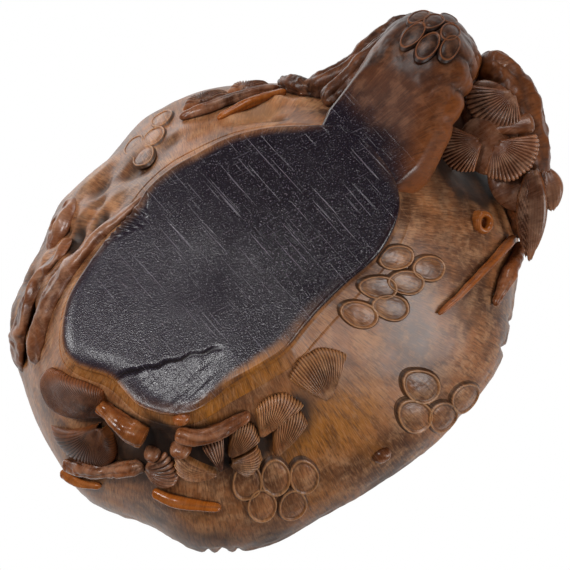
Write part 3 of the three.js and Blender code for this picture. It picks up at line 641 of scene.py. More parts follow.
# %% [markdown]
# ## The bowl
# The bowl is one skin, too: from its base up the outside, over the rounded lip and down the inside to
# a pole in the middle of the floor. Carving the outside is a displacement: at every point the wall
# is moved along its own normal by an amount in millimetres: the hills and pits listed above, with
# rough bumps over them. A few chips are missing from the rim.

# %% The bowl's carved outside
OUTSIDE_RINGS, LIP_RINGS, INSIDE_RINGS, COLUMNS = 96, 10, 34, 600
BOWL_WALL, LIP_THICKNESS, LIP_CREST, BOWL_BASE, BOWL_FLOOR = 4.5, 2.8, 1.2, 5.3, 10.3
RIM_CHIPS = [(130.5, 1.3, 1.3), (41.5, 0.9, 1.0), (134, 0.8, 0.9), (127, 0.8, 0.8), (35, 0.6, 0.5)]
bearings = np.linspace(0, 360, COLUMNS, endpoint=False)
tops = rim_height(bearings)
chipped = sum(depth * bell(bearings, bearing, width) for bearing, width, depth in RIM_CHIPS)
shares = BOWL_BASE / tops + (1 - BOWL_BASE / tops) * np.linspace(0, 1, OUTSIDE_RINGS)[:, None]
wall = on_wall(bearings, shares)
hills, pits = spots(wall, HILLS, 21), spots(wall, PITS, 22)
rocky = bell(bearings, 222, 30) * rough_bumps(wall, 3.4, 4)
carved = hills - pits * 0.9 + 0.45 * rocky + 0.10 * rough_bumps(wall, 6.0, 9) - 0.12
carved = np.clip(carved, -2.6, 1.1) * step_up(shares, 0.12, 0.20)
carved = carved - (0.55 * np.abs(rough_bumps(wall, 4.5, 33)) + chipped) * step_up(shares, 0.86, 0.98)
outside = wall + wall_out(bearings, shares) * carved[..., None]
outside[..., 2] -= chipped * step_up(shares, 0.93, 1.0)
print("carved from", carved.min().round(2), "to", carved.max().round(2), "mm")

# %% The lip, the inside and the whole bowl
turns = np.linspace(0, np.pi, LIP_RINGS + 2)[1:-1, None]
lip_middle = wall_radius(bearings, 1.0) + carved[-1] - LIP_THICKNESS / 2
lip = turned(bearings, lip_middle + LIP_THICKNESS / 2 * np.cos(turns),
             tops + LIP_CREST / 2 * np.sin(turns) - chipped)
inward = np.linspace(1, 0, INSIDE_RINGS)[:, None]
turn_in = inward * np.pi / 2
near_lip = step_up(inward, 0.93, 1.0)
inner_z = BOWL_FLOOR + (tops - BOWL_FLOOR) * (1 - np.cos(turn_in))
thick = BOWL_WALL + (LIP_THICKNESS - BOWL_WALL) * inward
inner_radius = wall_radius(bearings, inner_z / tops) - thick
inner_radius = inner_radius * np.sin(np.minimum(2.6 * turn_in, np.pi / 2))
inner_radius = np.maximum(inner_radius + carved[-1] * near_lip, 0.02)
inside = turned(bearings, inner_radius, inner_z - chipped * near_lip)
rings = np.concatenate([outside[:1] * [0.97, 0.97, 1], outside, lip, inside])


def whole_bowl(carved_part, plain_part):
    """A mark for the base ring, the carved outside, and the plain lip and inside."""
    return np.concatenate([carved_part[:1], carved_part, plain_part])


# Painted light: an amber glow where light comes through thin horn, and a faint one along the lip
amber = np.clip(spots(wall, AMBER_PLACES, 31), 0, 1)
# Painted sheen, which also lifts the rise mark and so the pale coat
painted_sheen = np.clip(spots(wall, PAINTED_SHEEN_PLACES, 33), 0, 1)
# Dirt and painted shade: the dark places, and the pits painted darker, less where the sheen is
# painted
dark = np.clip(spots(wall, DARK_AND_SHADED_PLACES, 32) + 0.5 * np.clip(pits, 0, 1), 0, 1) * (1 - 0.9 * painted_sheen)
height = np.clip(0.5 + 0.6 * painted_sheen + 0.28 * (hills - pits * (1 - painted_sheen)) + 0.25 * rocky, 0, 1)
plain = np.zeros((LIP_RINGS + INSIDE_RINGS, COLUMNS))
rim_glow = plain + 0.35 * bell(np.linspace(0, 1, len(plain))[:, None], 0, 0.16)
bowl_skin = closed_skin(rings, rise=whole_bowl(height, plain + 0.55),
                        glow=whole_bowl(amber, rim_glow), gloom=whole_bowl(dark, plain + 0.08))
add_piece("bowl", [bowl_skin], "horn")
print("bowl:", pieces["bowl"], "triangles")

# %% [markdown]
# ## Limbs: the trunk, its roots, branches and twigs
# Every limb is a rounded bar along a smooth curve. Its stops give the bearing, the share and how far
# its axis stands off the wall, with half its width and half its depth there. The curve passes
# through every stop, and its pace follows the square root of the distance between stops, which
# keeps it from overshooting where stops lie close together. Across the curve, one axis lies along
# the wall and the other points away from it.
#
# Bark is cut into the bar as furrows that run along it and sway from side to side.

# %% The curve and the frame of a limb
SHORT_STEP = 1e-3


def spline(stops, t):
    """Points on a smooth curve through the stops: a cubic between each two, whose slopes at its
    ends come from the stops on both sides, weighed by the roots of their distances."""
    stops = np.vstack([2 * stops[0] - stops[1], stops, 2 * stops[-1] - stops[-2]])
    place = np.clip(t, 0, 1) * (len(stops) - 3)
    first = np.minimum(np.floor(place).astype(int), len(stops) - 4)
    f = (place - first)[..., None]
    p0, p1, p2, p3 = (stops[first + k] for k in range(4))
    d0, d1, d2 = (np.sqrt(np.linalg.norm(b - a, axis=-1, keepdims=True))
                  for a, b in ((p0, p1), (p1, p2), (p2, p3)))
    m1 = ((p1 - p0) / d0 - (p2 - p0) / (d0 + d1) + (p2 - p1) / d1) * d1
    m2 = ((p2 - p1) / d1 - (p3 - p1) / (d1 + d2) + (p3 - p2) / d2) * d1
    return p1 + m1 * f + (3 * (p2 - p1) - 2 * m1 - m2) * f ** 2 + (2 * (p1 - p2) + m1 + m2) * f ** 3


def limb_frame(limb, t):
    """Point, tangent, side axis, outward axis, half width and half depth at the shares t. The
    side axis is level, or square to the tangent and to the way out of the wall."""
    free, level_side, stops = limb
    bearing, share, stand_off, width, depth = np.array(stops, float).T
    axis = (beside_wall if free else above_wall)(bearing, share, stand_off)
    point = spline(axis, t)
    tangent = unit(spline(axis, t + SHORT_STEP) - spline(axis, t - SHORT_STEP))
    at = t * (len(stops) - 1)
    here, up_here, w, d = (np.interp(at, np.arange(len(stops)), v)
                           for v in (bearing, share, width, depth))
    angle = np.radians(here)
    if level_side:
        side = xyz(-np.sin(angle), np.cos(angle))
    else:
        side = np.cross(tangent, wall_out(here, np.maximum(up_here, STRAIGHT_SHARE)))
    side = unit(side - tangent * np.sum(side * tangent, -1, keepdims=True))
    return point, tangent, side, np.cross(side, tangent), w, d


def limb_rings(limb, carve, along=110, round_=64, blunt=0.08):
    """Rings across a limb. Its ends are rounded as an ellipse is, over the share `blunt`, and
    `carve(t, angle, points)` gives how far the bark stands proud, in mm, with its marks."""
    t = (1 - np.cos(np.linspace(0.03, 0.97, along) * np.pi)) / 2
    t = (t - t[0]) / (t[-1] - t[0]) * 0.998 + 0.001
    point, _, side, out, width, depth = (v[:, None] for v in limb_frame(limb, t))
    angle, t = circle(round_), t[:, None]
    start, end = np.maximum(0, 1 - t / blunt), np.maximum(0, 1 - (1 - t) / blunt)
    full = np.sqrt(1 - start ** 2) * np.sqrt(1 - end ** 2)
    plain = (point + side * (width * full * np.cos(angle))[..., None]
             + out * (depth * full * np.sin(angle))[..., None])
    proud, marks = carve(t, angle, plain)
    away = unit(side * np.cos(angle)[:, None] + out * np.sin(angle)[:, None])
    return plain + away * (proud * full)[..., None], marks


def bark(seed, furrows=7, deep=0.22, rough=0.22, shine=0.25, glow=0.0, gloom=0.0):
    """Furrows along the limb: the sine of the angle times their number, swaying with bumps."""
    def carve(t, angle, points):
        sway = 1.6 * bumps(points, 5.0, seed)
        furrow = np.abs(np.sin(0.5 * furrows * angle + sway + seed)) ** 0.7
        lumps = rough_bumps(points, 2.6, seed + 40)
        proud = -deep * (1 - furrow) + rough * lumps - 0.1
        rise = np.clip(0.30 + 0.42 * furrow + 0.30 * lumps, 0, 1)
        thin = glow * (0.45 + 0.55 * furrow) + shine * np.clip(lumps, 0, 1)
        # The gloom mark darkens the furrows: old dirt and painted shade
        return proud, {"rise": rise, "glow": thin, "gloom": gloom * (1 - furrow)}
    return carve


def crest(seed, rough=0.5, shine=0.5, gloom=0.2):
    """A ridge like a folded rock: a bell over the side that faces out, with rough bumps."""
    def carve(t, angle, points):
        lumps = rough_bumps(points, 3.0, seed)
        sway = 1.2 * bumps(points, 6.0, seed + 3)
        top = bell(from_middle(angle + sway, np.pi / 2, 2 * np.pi), 0, 0.55)
        proud = 0.9 * top - 0.5 + rough * lumps
        rise = np.clip(0.35 + 0.5 * top + 0.3 * lumps, 0, 1)
        # The gloom mark darkens the sides off the crest's top: old dirt and painted shade
        return proud, {"rise": rise, "glow": shine * (np.clip(lumps, 0, 1) + 0.3 * top),
                       "gloom": gloom * (1 - top)}
    return carve


# %% [markdown]
# ### The trunk
# The trunk is the widest limb. Seen from below it carries on from the foot's face without a step,
# dark at first and brown further on, so next to the foot its underside is pressed flat into the
# plane of the face. Its free edge is carved in curved flutes that are thin enough to glow. A few
# long furrows and short knife marks cover the rest.

# %% The trunk
TRUNK = (True, True, [
    (-2.4, 0.13, -12.8, 9.6, 7.0), (-7.0, 0.145, -1.6, 12.2, 7.6), (-12.2, 0.165, 8.9, 11.2, 8.6),
    (-16.6, 0.26, 15.2, 10.4, 8.8), (-19.2, 0.43, 15.7, 9.4, 7.4), (-19.8, 0.62, 13.1, 8.4, 6.0),
    (-19.8, 0.79, 7.4, 7.6, 5.2), (-19.8, 0.92, -1.5, 6.8, 4.4)])


def trunk_bark(t, angle, points):
    """Long furrows, curved flutes on the edge towards the fans, and rough bumps."""
    furrow = np.abs(np.sin(4.5 * angle + 1.8 * bumps(points, 9.0, 3))) ** 0.8
    lumps, fine = rough_bumps(points, 5.0, 14), rough_bumps(points, 1.8, 15)
    off_edge = from_middle(angle, 0.15, 2 * np.pi)
    past_foot = step_up(t, 0.22, 0.34)
    flute_zone = bell(off_edge, 0, 0.75) * past_foot * (1 - step_up(t, 0.78, 0.92))
    wave = np.abs(np.sin(np.pi * (t * 11 + 0.55 * off_edge))) ** 0.7
    flute, ridge = flute_zone * (1 - wave), flute_zone * wave
    thin_edge = bell(off_edge, 0, 0.7) * (1 - past_foot)
    away = step_up(np.hypot(points[..., 0], points[..., 1]), 40, 56)
    rough = 0.45 * lumps + 0.16 * fine - 0.35 * (1 - furrow)
    worked = 0.30 * lumps + 0.16 * fine + 0.26 * furrow - 0.12
    proud = away * rough - 1.15 * flute + 0.30 * ridge - 0.15
    rise = 0.46 + away * worked - 0.30 * flute + 0.2 * ridge
    glow = 0.6 * thin_edge + 0.7 * ridge + 0.5 * away * np.clip(lumps, 0, 1)
    heart = black_heart(points, HEART_REACH + 1) * step_up(np.sin(angle), 0.30, 0.62)
    # The gloom mark darkens the flutes: old dirt and painted shade
    return proud, {"rise": np.clip(rise, 0, 1), "glow": np.clip(glow, 0, 1), "gloom": 0.35 * flute,
                   "heart": heart}


# %% The trunk's skin, flat next to the foot
TRUNK_ROUND, UNDERSIDE, PRESS = 280, 0.08, 3.0
rings, marks = limb_rings(TRUNK, trunk_bark, along=300, round_=TRUNK_ROUND, blunt=0.10)
above = UNDERSIDE + np.logaddexp(0, (rings[..., 2] - UNDERSIDE) * PRESS) / PRESS
level = step_up(np.sin(circle(TRUNK_ROUND)), 0.25, 0.62)
level = level * (1 - step_up(np.hypot(rings[..., 0], rings[..., 1]), 36, 52))
rings[..., 2] = above + (UNDERSIDE - above) * 0.97 * level
add_piece("trunk", [closed_skin(rings, **marks)], "trunk_horn")
print("trunk:", pieces["trunk"], "triangles")

# %% [markdown]
# ### Branches, roots and twigs
# The other limbs differ only in their stops and in how their bark is cut, so they are rows of a
# table. Limbs that stand free of the wall are measured level from it, and those that lie on it are
# measured square to it.

# %% The other limbs
# bark takes a seed, furrows, deep, rough, shine, glow and gloom, and a stop is a bearing, a share,
# a stand-off, a half width and a half depth
LIMBS = {  # free of the wall, bark, finish, stops
    "outer_branch": (True, bark(1, 6, 0.35, 0.8, 0.5, 0.3, 0.5), "trunk_horn", [
        (-13.3, 0.59, 14.6, 5.0, 4.4), (-10.1, 0.63, 15.6, 5.2, 4.4), (-6.1, 0.65, 15, 5.4, 4.4),
        (-1.9, 0.65, 12.9, 5.6, 4.4), (2.5, 0.67, 10.5, 6.0, 4.4), (6.7, 0.71, 8.2, 6.0, 4.4),
        (9.9, 0.77, 5.2, 5.6, 4.2), (12.8, 0.85, 2.4, 4.8, 3.8), (15.8, 0.93, 0, 3.8, 3.0)]),
    "branch_stub": (True, bark(2, 5, 0.15, 0.25, 0.4), "carved_horn", [
        (-10.8, 0.62, 16.2, 2.6, 2.6), (-11.3, 0.59, 18, 2.8, 2.8), (-11.6, 0.565, 19.6, 2.4, 2.4)]),
    "root_ridge_outer": (True, bark(3, 5, 0.5, 0.6, 0.5), "trunk_horn", [
        (-42, 0.5, 0.6, 2.4, 2.2), (-37.5, 0.43, 2.6, 2.8, 2.8), (-31.5, 0.4, 7.8, 3.0, 3.0),
        (-29, 0.4, 13.4, 3.2, 3.0), (-27, 0.42, 18.0, 3.0, 2.8), (-24.5, 0.46, 20.0, 2.4, 2.4)]),
    "root_ridge_inner": (True, bark(4, 5, 0.5, 0.6, 0.4), "trunk_horn", [
        (-31, 0.22, 2.5, 2.4, 2.4), (-28, 0.23, 8.4, 2.7, 2.7), (-26, 0.23, 14, 2.8, 2.8),
        (-24, 0.24, 19.4, 2.8, 2.8), (-21.5, 0.28, 22.8, 2.4, 2.4)]),
    "fan_stem": (True, bark(5, 4, 0.08, 0.12, 0.3, 0.2, 0.3), "carved_horn", [
        (1.7, 0.541, 15.8, 2.8, 1.5), (0.3, 0.527, 12.1, 2.8, 1.5), (-1.4, 0.514, 8.5, 2.6, 1.4),
        (-3.3, 0.507, 5.3, 2.2, 1.3)]),
    "long_twig": (False, bark(6, 4, 0.08, 0.12, 0.4, 0.9), "carved_horn", [
        (18, 0.78, 0.9, 1.1, 1.3), (24, 0.63, 0.9, 0.9, 1.2), (30.3, 0.53, 0.8, 0.8, 1.1),
        (36.9, 0.46, 0.7, 0.7, 1), (42.9, 0.42, 0.4, 0.6, 0.8)]),
    "forked_twig": (False, bark(7, 4, 0.15, 0.4, 0.5, 0.5, 0.4), "carved_horn", [
        (18.5, 0.87, 0.9, 1.3, 1.5), (22, 0.82, 1, 1.3, 1.6), (26.8, 0.74, 1.3, 1.9, 2),
        (30.4, 0.715, 1.1, 1.4, 1.5), (35, 0.7, 0.6, 1, 1)]),
    "amber_twig": (False, bark(8, 4, 0.1, 0.12, 0.4, 0.9), "amber_horn", [
        (145, 0.5, 0.7, 1.4, 1.2), (138, 0.49, 1, 1.5, 1.5), (127.5, 0.54, 0.7, 1.0, 1.2)]),
    "low_branch_long": (False, bark(9, 5, 0.3, 0.6, 0.6, 0.1, 0.4), "carved_horn", [
        (148, 0.36, 0.8, 1.5, 1.5), (154.8, 0.445, 1.2, 1.7, 1.7), (162.2, 0.53, 1.3, 1.8, 1.8),
        (170, 0.66, 0.9, 1.5, 1.5)]),
    "low_branch_short": (False, bark(10, 4, 0.12, 0.2, 0.4, 0.6), "amber_horn", [
        (159.7, 0.64, 0.4, 0.8, 0.8), (165.9, 0.72, 0.7, 1.2, 1.2), (170.9, 0.78, 0.8, 1.3, 1.3)]),
    "cut_branch": (False, bark(11, 6, 0.25, 0.45, 0.5, 0.2, 0.3), "amber_horn", [
        (165.2, 0.185, 0.8, 1.6, 1.6), (157.8, 0.165, 1.8, 2.1, 2.1), (151.5, 0.155, 2.2, 2.5, 2.5),
        (147, 0.165, 2, 2.4, 2.4)]),
    "foot_branch": (False, bark(12, 5, 0.25, 0.45, 0.6, 0.2, 0.4), "carved_horn", [
        (138.6, 0.13, 0.8, 1.6, 1.6), (134.3, 0.15, 1.2, 1.8, 1.7), (127.5, 0.17, 1.2, 1.8, 1.7),
        (121, 0.185, 1, 1.6, 1.5), (114.3, 0.18, 0.5, 1, 1)]),
    "spout_ridge_inner": (False, crest(13), "carved_horn", [
        (250, 0.06, -0.2, 1.6, 0.8), (238, 0.10, -0.1, 2.2, 1.1), (224, 0.16, 0.0, 2.8, 1.3),
        (212, 0.2, 0.0, 3.4, 1.5), (204, 0.27, 0.1, 3.8, 1.6), (197, 0.34, 0.1, 3.8, 1.6),
        (192.5, 0.46, -0.1, 3.2, 1.3)]),
    "spout_ridge_outer": (False, crest(14, 0.6, 0.7), "carved_horn", [
        (226, 0.36, -0.1, 2.4, 1.0), (215, 0.42, 0.0, 3.2, 1.3), (207, 0.5, 0.1, 3.8, 1.5),
        (201.5, 0.6, 0.0, 3.8, 1.5), (197, 0.76, -0.1, 3.0, 1.1)]),
    "far_twig": (False, bark(15, 4, 0.15, 0.2, 0.3), "carved_horn", [
        (280.5, 0.38, 0.7, 1.1, 1.1), (289, 0.36, 0.9, 1.3, 1.4), (297, 0.39, 0.9, 1.3, 1.4),
        (305, 0.45, 0.9, 1.3, 1.3), (310, 0.52, 0.6, 1.0, 1.0)]),
    "far_amber_twig": (False, bark(16, 4, 0.1, 0.12, 0.4, 0.7), "amber_horn", [
        (294, 0.26, 0.4, 0.9, 0.9), (304.5, 0.33, 0.8, 1.2, 1.2), (313, 0.46, 0.6, 1.0, 1.0)]),
    "far_branch": (False, bark(17, 5, 0.3, 0.6, 0.4), "trunk_horn", [
        (309, 0.62, 0.6, 1.4, 1.4), (312, 0.55, 1.0, 1.9, 1.9), (317, 0.48, 1.4, 2.2, 2.2),
        (322, 0.46, 1.2, 2.0, 2.0)]),
}
LOWEST = 0.15
limb_skins = {}
for name, (free, cut, finish, stops) in LIMBS.items():
    rings, marks = limb_rings((free, False, stops), cut, blunt=0.04 if name == "cut_branch" else 0.08)
    rings[..., 2] = np.maximum(rings[..., 2], LOWEST)
    limb_skins[name] = closed_skin(rings, **marks)
    if name != "fan_stem":
        slot = "carved_horn" if finish == "trunk_horn" else finish
        add_piece(name, [limb_skins[name]], finish)
print("limbs:", len(LIMBS))

# %% [markdown]
# ## Places to lay a form
# A fan, a knob or a bark scale is worked out flat, with u and v in its own plane and a height above
# it, and then laid on the cup. On the wall, u runs along it and v up it, so the form bends with the
# wall. In free space the plane is given by a hinge, a point to aim at and the way it faces.

# %% Patches on the wall, on a limb and in free space


def headed(u, v, heading):
    """u and v turned about their origin by the heading."""
    c, s = math.cos(math.radians(heading)), math.sin(math.radians(heading))
    return u * c - v * s, u * s + v * c


def wall_patch(bearing, share, heading=0.0):
    """Lays (u, v, out) on the wall round one place, with u turned by the heading."""
    along, up = wall_ways(bearing, share)
    per_degree = np.linalg.norm(along) / (2 * NEAR_DEGREES)
    per_share = np.linalg.norm(up) / (2 * NEAR_SHARE)

    def place(u, v, out):
        u, v = headed(u, v, heading)
        return above_wall(bearing + u / per_degree, share + v / per_share, RELIEF_GAP + out)
    return place


def trunk_patch(around_trunk, along, heading=0.0):
    """Lays (u, v, out) on the trunk, u round it and v along it."""
    axis = limb_frame(TRUNK, np.linspace(0, 1, 200))[0]
    length = np.linalg.norm(np.diff(axis, axis=0), axis=1).sum()
    middle = limb_frame(TRUNK, np.array([along]))
    girth = float((middle[4] + middle[5])[0] / 2)

    def place(u, v, out):
        u, v = headed(u, v, heading)
        t = np.clip(along + v / length, 0, 1).ravel()
        point, _, side, away, width, depth = (
            values.reshape(u.shape + values.shape[1:]) for values in limb_frame(TRUNK, t))
        angle = np.radians(around_trunk) + u / girth
        w = (width + RELIEF_GAP + out) * np.cos(angle)
        d = (depth + RELIEF_GAP + out) * np.sin(angle)
        return point + side * w[..., None] + away * d[..., None]
    return place


def free_patch(hinge, aim, facing):
    """Lays (u, v, out) on a plane: u towards the aim, out the way it faces."""
    origin = beside_wall(*hinge)
    out_axis = unit(np.array(facing, float))
    u_axis = beside_wall(*aim) - origin
    u_axis = unit(u_axis - out_axis * (u_axis @ out_axis))
    v_axis = np.cross(out_axis, u_axis)

    def place(u, v, out):
        return origin + u[..., None] * u_axis + v[..., None] * v_axis + out[..., None] * out_axis
    return place


# %% [markdown]
# ## Needle fans
# A carver draws a bunch of pine needles as a fan: ridges that spread from a hinge, cut apart by fine
# grooves, with a scalloped edge. The skin's rings are cuts through the fan at one angle each, so a
# ridge or a groove runs along a ring and stays crisp. Six rings to a needle give it a round back and
# a sharp groove. The two at the rim are combs: a leaf with short slanted teeth along one side.

# %% One fan
FAN_HINGE, FAN_THICK, COMB_BELLY = 0.9, 1.3, 3.4
RINGS_A_NEEDLE, TOP_POINTS, BACK_POINTS = 6, 34, 11


def fan_skin(place, reach, spread, skew, needles, back, thick=FAN_THICK, seed=0, comb=False):
    """Out along the top and home along the back, at each angle. The top is a low arch, a groove
    lies between each two needles, and the reach is shorter at a groove and at both sides. It is
    longer by the skew on one side, and shorter by it on the other. A comb is a leaf whose half
    width is its belly times the sine of the way along, with teeth that slant back."""
    across = np.linspace(-1, 1, needles * RINGS_A_NEEDLE + 1)[:, None]
    s = np.append(np.linspace(0, 1, TOP_POINTS) ** 0.85, np.linspace(1, 0, BACK_POINTS)[1:-1])
    top = np.arange(s.size) < TOP_POINTS
    fine = min(1.0, 16 / needles)
    ridge = np.abs(np.sin(np.pi * needles * (across + 1) / 2)) ** 0.6
    if comb:
        ridge = 0.75 + 0.25 * ridge
    sides = np.sqrt(np.clip(1 - across ** 6, 0, 1))
    uneven = bumps(xyz(across * 5, 0, seed), 1.0, seed)
    edge = reach * (1 - 0.045 * fine * (1 - ridge)) * (1 - 0.12 * across ** 2) * (1 + 0.03 * uneven)
    radius = FAN_HINGE + (edge * (1 + skew * across) - FAN_HINGE) * s
    angle = across * math.radians(spread) / 2
    cut = step_up(s, 0.10, 0.42) * (1 - ridge)
    if comb:
        gap = 1 - np.abs(np.sin(np.pi * (13 * s - 3.2 * across))) ** 0.7
        gap = gap * step_up(-across, 0.05, 0.35) * step_up(s, 0.05, 0.15)
        half_width = COMB_BELLY * np.sin(np.pi * (0.08 + 0.84 * s)) ** 0.7
        angle = np.arctan2(across * half_width * (1 - 0.14 * gap), radius)
        cut = 0.3 * cut + 1.1 * gap
        ridge = 1 - cut
    arch = 0.55 + 0.45 * np.sin(np.pi * np.minimum(s * 1.04, 1))
    body = sides * np.sqrt(np.clip(1 - s ** 12, 0, 1))
    swell = 0.12 * bumps(xyz(across * 2 + seed, s * 3), 1.0, seed)
    crown = (thick * arch + 0.30 + swell - 0.46 * fine * cut) * body + min(back, 0) * (1 - body)
    points = place(radius * np.cos(angle), radius * np.sin(angle), np.where(top, crown, back))
    tip = step_up(s, 0.78, 1.0) * np.where(top, 1, 0.5)
    rise = np.where(top, 0.28 + 0.55 * ridge * step_up(s, 0.05, 0.4) + 0.25 * tip * ridge, 0.4)
    glow = np.clip(0.6 * tip * ridge + 0.4 * step_up(np.abs(across), 0.8, 1.0), 0, 1)
    # Darker at the hinge and in the grooves: old dirt and painted shade
    gloom = 0.30 * (1 - step_up(s, 0.0, 0.30)) + 0.50 * cut
    return closed_skin(points, rise=rise, glow=glow, gloom=gloom)


# %% The fans on the wall, the handle and the rim
WALL_FANS = {  # bearing, share, heading, reach, spread, skew, needles
    "near_fan_right": (87, 0.318, -110, 11.6, 92, 0, 22),
    "near_fan_middle": (113.6, 0.297, -138, 10.2, 78, -0.30, 17),
    "near_fan_lower": (110.8, 0.408, -135, 11.4, 60, 0, 14),
    "near_fan_small": (124.4, 0.312, -145, 8.8, 76, 0, 13),
    "near_fan_tail": (124.4, 0.33, 150, 8, 66, 0, 11),
    "needle_tuft": (126, 0.36, -81, 9.6, 36, 0, 8),
    "near_fan_left": (126.4, 0.36, -21, 10, 46, -0.2, 11),
    "scalloped_fan": (148, 0.36, 180, 7.4, 110, 0.12, 11),
    "left_fan_upper": (161.4, 0.208, -4, 13.8, 104, 0.52, 40),
    "left_fan_lower": (162.9, 0.263, 102, 13, 86, -0.75, 34),
    "far_fan": (288.5, 0.41, 78, 6.8, 120, 0, 18),
    "far_fan_high": (301, 0.47, 84, 6.4, 110, 0, 16),
}
DOWNWARD = (0, 0.3, -0.95)
FREE_FANS = {  # hinge, aim, facing, reach, spread, skew, needles
    "handle_fan_left": ((0.9, 0.453, 7.2), (-0.2, 0.453, -0.9), DOWNWARD, 9.6, 100, -0.24, 18),
    "handle_fan_right": ((1.8, 0.489, 8.2), (9, 0.491, 10.2), DOWNWARD, 8.8, 118, 0.12, 20),
    "handle_fan_upper": ((-4, 0.478, 17.7), (-2.5, 0.478, 10.5), DOWNWARD, 9.2, 112, -0.2, 18),
    "rim_fan_upper": ((8.6, 0.554, 11.7), (24.1, 0.788, 4.2), (-0.26, 0.48, -0.84), 20, 28, 0, 12),
    "rim_fan_outer": ((9.3, 0.595, 13.2), (16.6, 0.681, 10.7), (-0.17, 0.4, -0.9), 9, 40, 0, 9),
}
FAN_LOOKS = {"near": ("horn", 1.5), "left": ("trunk_horn", 2.2)}  # finish, thickness
for order, (name, (bearing, share, heading, *shape)) in enumerate(WALL_FANS.items()):
    finish, thick = FAN_LOOKS.get(name.split("_")[0], ("carved_horn", 1.5))
    skin = fan_skin(wall_patch(bearing, share, heading), *shape, back=-0.8, seed=order, thick=thick)
    add_piece(name, [skin], finish)
for order, (name, (hinge, aim, facing, *shape)) in enumerate(FREE_FANS.items(), start=20):
    skin = fan_skin(free_patch(hinge, aim, facing), *shape, back=0.0, seed=order,
                    comb=name.startswith("rim_fan"))
    add_piece(name, [skin])
print("fans:", len(WALL_FANS) + len(FREE_FANS))

# %% [markdown]
# ## Knobs and the hollow knot
# A knob is a dome: its height is the square root of one minus the squared distance from its middle,
# with rough bumps. The hollow knot is the stump of a fallen branch, a short tube with a rolled lip
# and a hole that glows because the horn is thin there.

# %% Knobs and the leaves behind the handle's fans
SUNK = -0.8


def dome_skin(place, half_length, half_width, height, rough, seed, glow):
    """Rings from the top of a dome down its side to a back sunk in the wall."""
    reach = np.sin(np.linspace(0.03, np.pi / 2, 36))[:, None]
    angle = circle(72)
    up = np.sqrt(np.clip(1 - reach ** 2, 0, 1))
    u, v = half_length * reach * np.cos(angle), half_width * reach * np.sin(angle)
    lumps = rough_bumps(xyz(u, v), max(half_width * 0.6, 1.0), seed)
    top = place(u, v, height * up - 0.4 * (1 - up) + rough * lumps * up)
    back = place(u[-1:] * 0.97, v[-1:] * 0.97, np.full_like(u[-1:], SUNK))
    rise = np.clip(0.45 + 0.3 * up + 0.35 * lumps, 0, 1)
    return closed_skin(np.concatenate([top, back]), rise=np.vstack([rise, np.full_like(u[:1], 0.3)]),
                       glow=np.vstack([glow * (0.4 + 0.6 * up), [[0.0]]]))


# The needle fans on the handle lie on leaves that fill the space between trunk and branch
LEAVES = [  # middle, aim, half length, half width
    ((-3.2, 0.515, 10.5), (5, 0.515, 10.5), 7.6, 5.6), ((1.5, 0.5, 6), (9, 0.5, 6), 6, 5),
    ((-6.8, 0.553, 4.4), (2, 0.553, 4.4), 6.5, 4.6), ((9, 0.62, 5), (14, 0.66, 5), 6, 4.4)]
leaf_skins = [dome_skin(free_patch(middle, aim, DOWNWARD), length, width, height=0.9, rough=0.25,
                        seed=seed, glow=0.1)
              for seed, (middle, aim, length, width) in enumerate(LEAVES, start=80)]
add_piece("fan_stem", [limb_skins["fan_stem"], *leaf_skins])

KNOBS = {  # bearing, share, half length, half width, height, roughness, glow
    "wall_knot": (83, 0.73, 2.0, 1.7, 1.2, 0.25, 0.3),
    "foot_tip_knob": (137, 0.07, 1.7, 1.5, 1.5, 0.15, 0.9),
    "branch_knot": (137, 0.21, 2.1, 1.8, 2.6, 0.3, 0.5),
    "low_knot": (145.5, 0.27, 1.7, 1.6, 2.2, 0.3, 0.4),
    "rock_lobe": (232, 0.52, 6.0, 5.0, 1.6, 1.0, 0.1),
}
for seed, (name, (bearing, share, *shape, glow)) in enumerate(KNOBS.items(), start=60):
    add_piece(name, [dome_skin(wall_patch(bearing, share), *shape, seed=seed, glow=glow)])

# %% The hollow knot
KNOT_PROFILE = np.array([  # radius, height
    [0.05, 0.9], [0.7, 0.92], [0.95, 1.15], [1.1, 1.9], [1.2, 2.35], [1.45, 2.6], [1.8, 2.58],
    [2.1, 2.35], [2.28, 1.9], [2.3, 1.0], [2.35, 0.2], [2.3, -0.6]])
along_profile = np.linspace(0, len(KNOT_PROFILE) - 1, 60)
radius, height = (np.interp(along_profile, np.arange(len(KNOT_PROFILE)), column)[:, None]
                  for column in KNOT_PROFILE.T)
angle = circle(72)
spread = radius * (1 + 0.05 * bumps(xyz(np.cos(angle), np.sin(angle)), 0.6, 7))
lay = free_patch((17, 0.51, -0.4), (30, 0.51, -0.4), (0.5, 0.58, -0.64))
hole = 1 - step_up(radius, 0.9, 1.4)
knot_skin = closed_skin(lay(spread * np.cos(angle), spread * np.sin(angle), height),
                        rise=0.75 - 0.3 * hole, glow=0.6 + 0.4 * hole)
add_piece("hollow_knot", [knot_skin], "amber_horn")
print("knobs:", len(KNOBS) + 1)

# %% [markdown]
# ## Bark scales
# Pine bark is shown by oval scales. Each one is a raised oval line with a groove inside it and a low
# dome in the middle. Its height is a profile over the distance from its middle, and the outermost
# ring is sunk in the wall so that no edge lifts.

# %% The scales
SCALE_LENGTH, SCALE_WIDTH = 5.3, 3.05
PROFILE_REACH = np.array([0.0, 0.3, 0.55, 0.70, 0.79, 0.84, 0.90, 0.95, 1.00, 1.04, 1.10])
PROFILE_HEIGHT = np.array([0.34, 0.31, 0.18, 0.02, -0.08, 0.12, 0.32, 0.28, 0.02, -0.34, -0.70])
PROFILE_RISE = np.array([0.70, 0.66, 0.52, 0.38, 0.16, 0.55, 1.0, 0.85, 0.30, 0.05, 0.0])


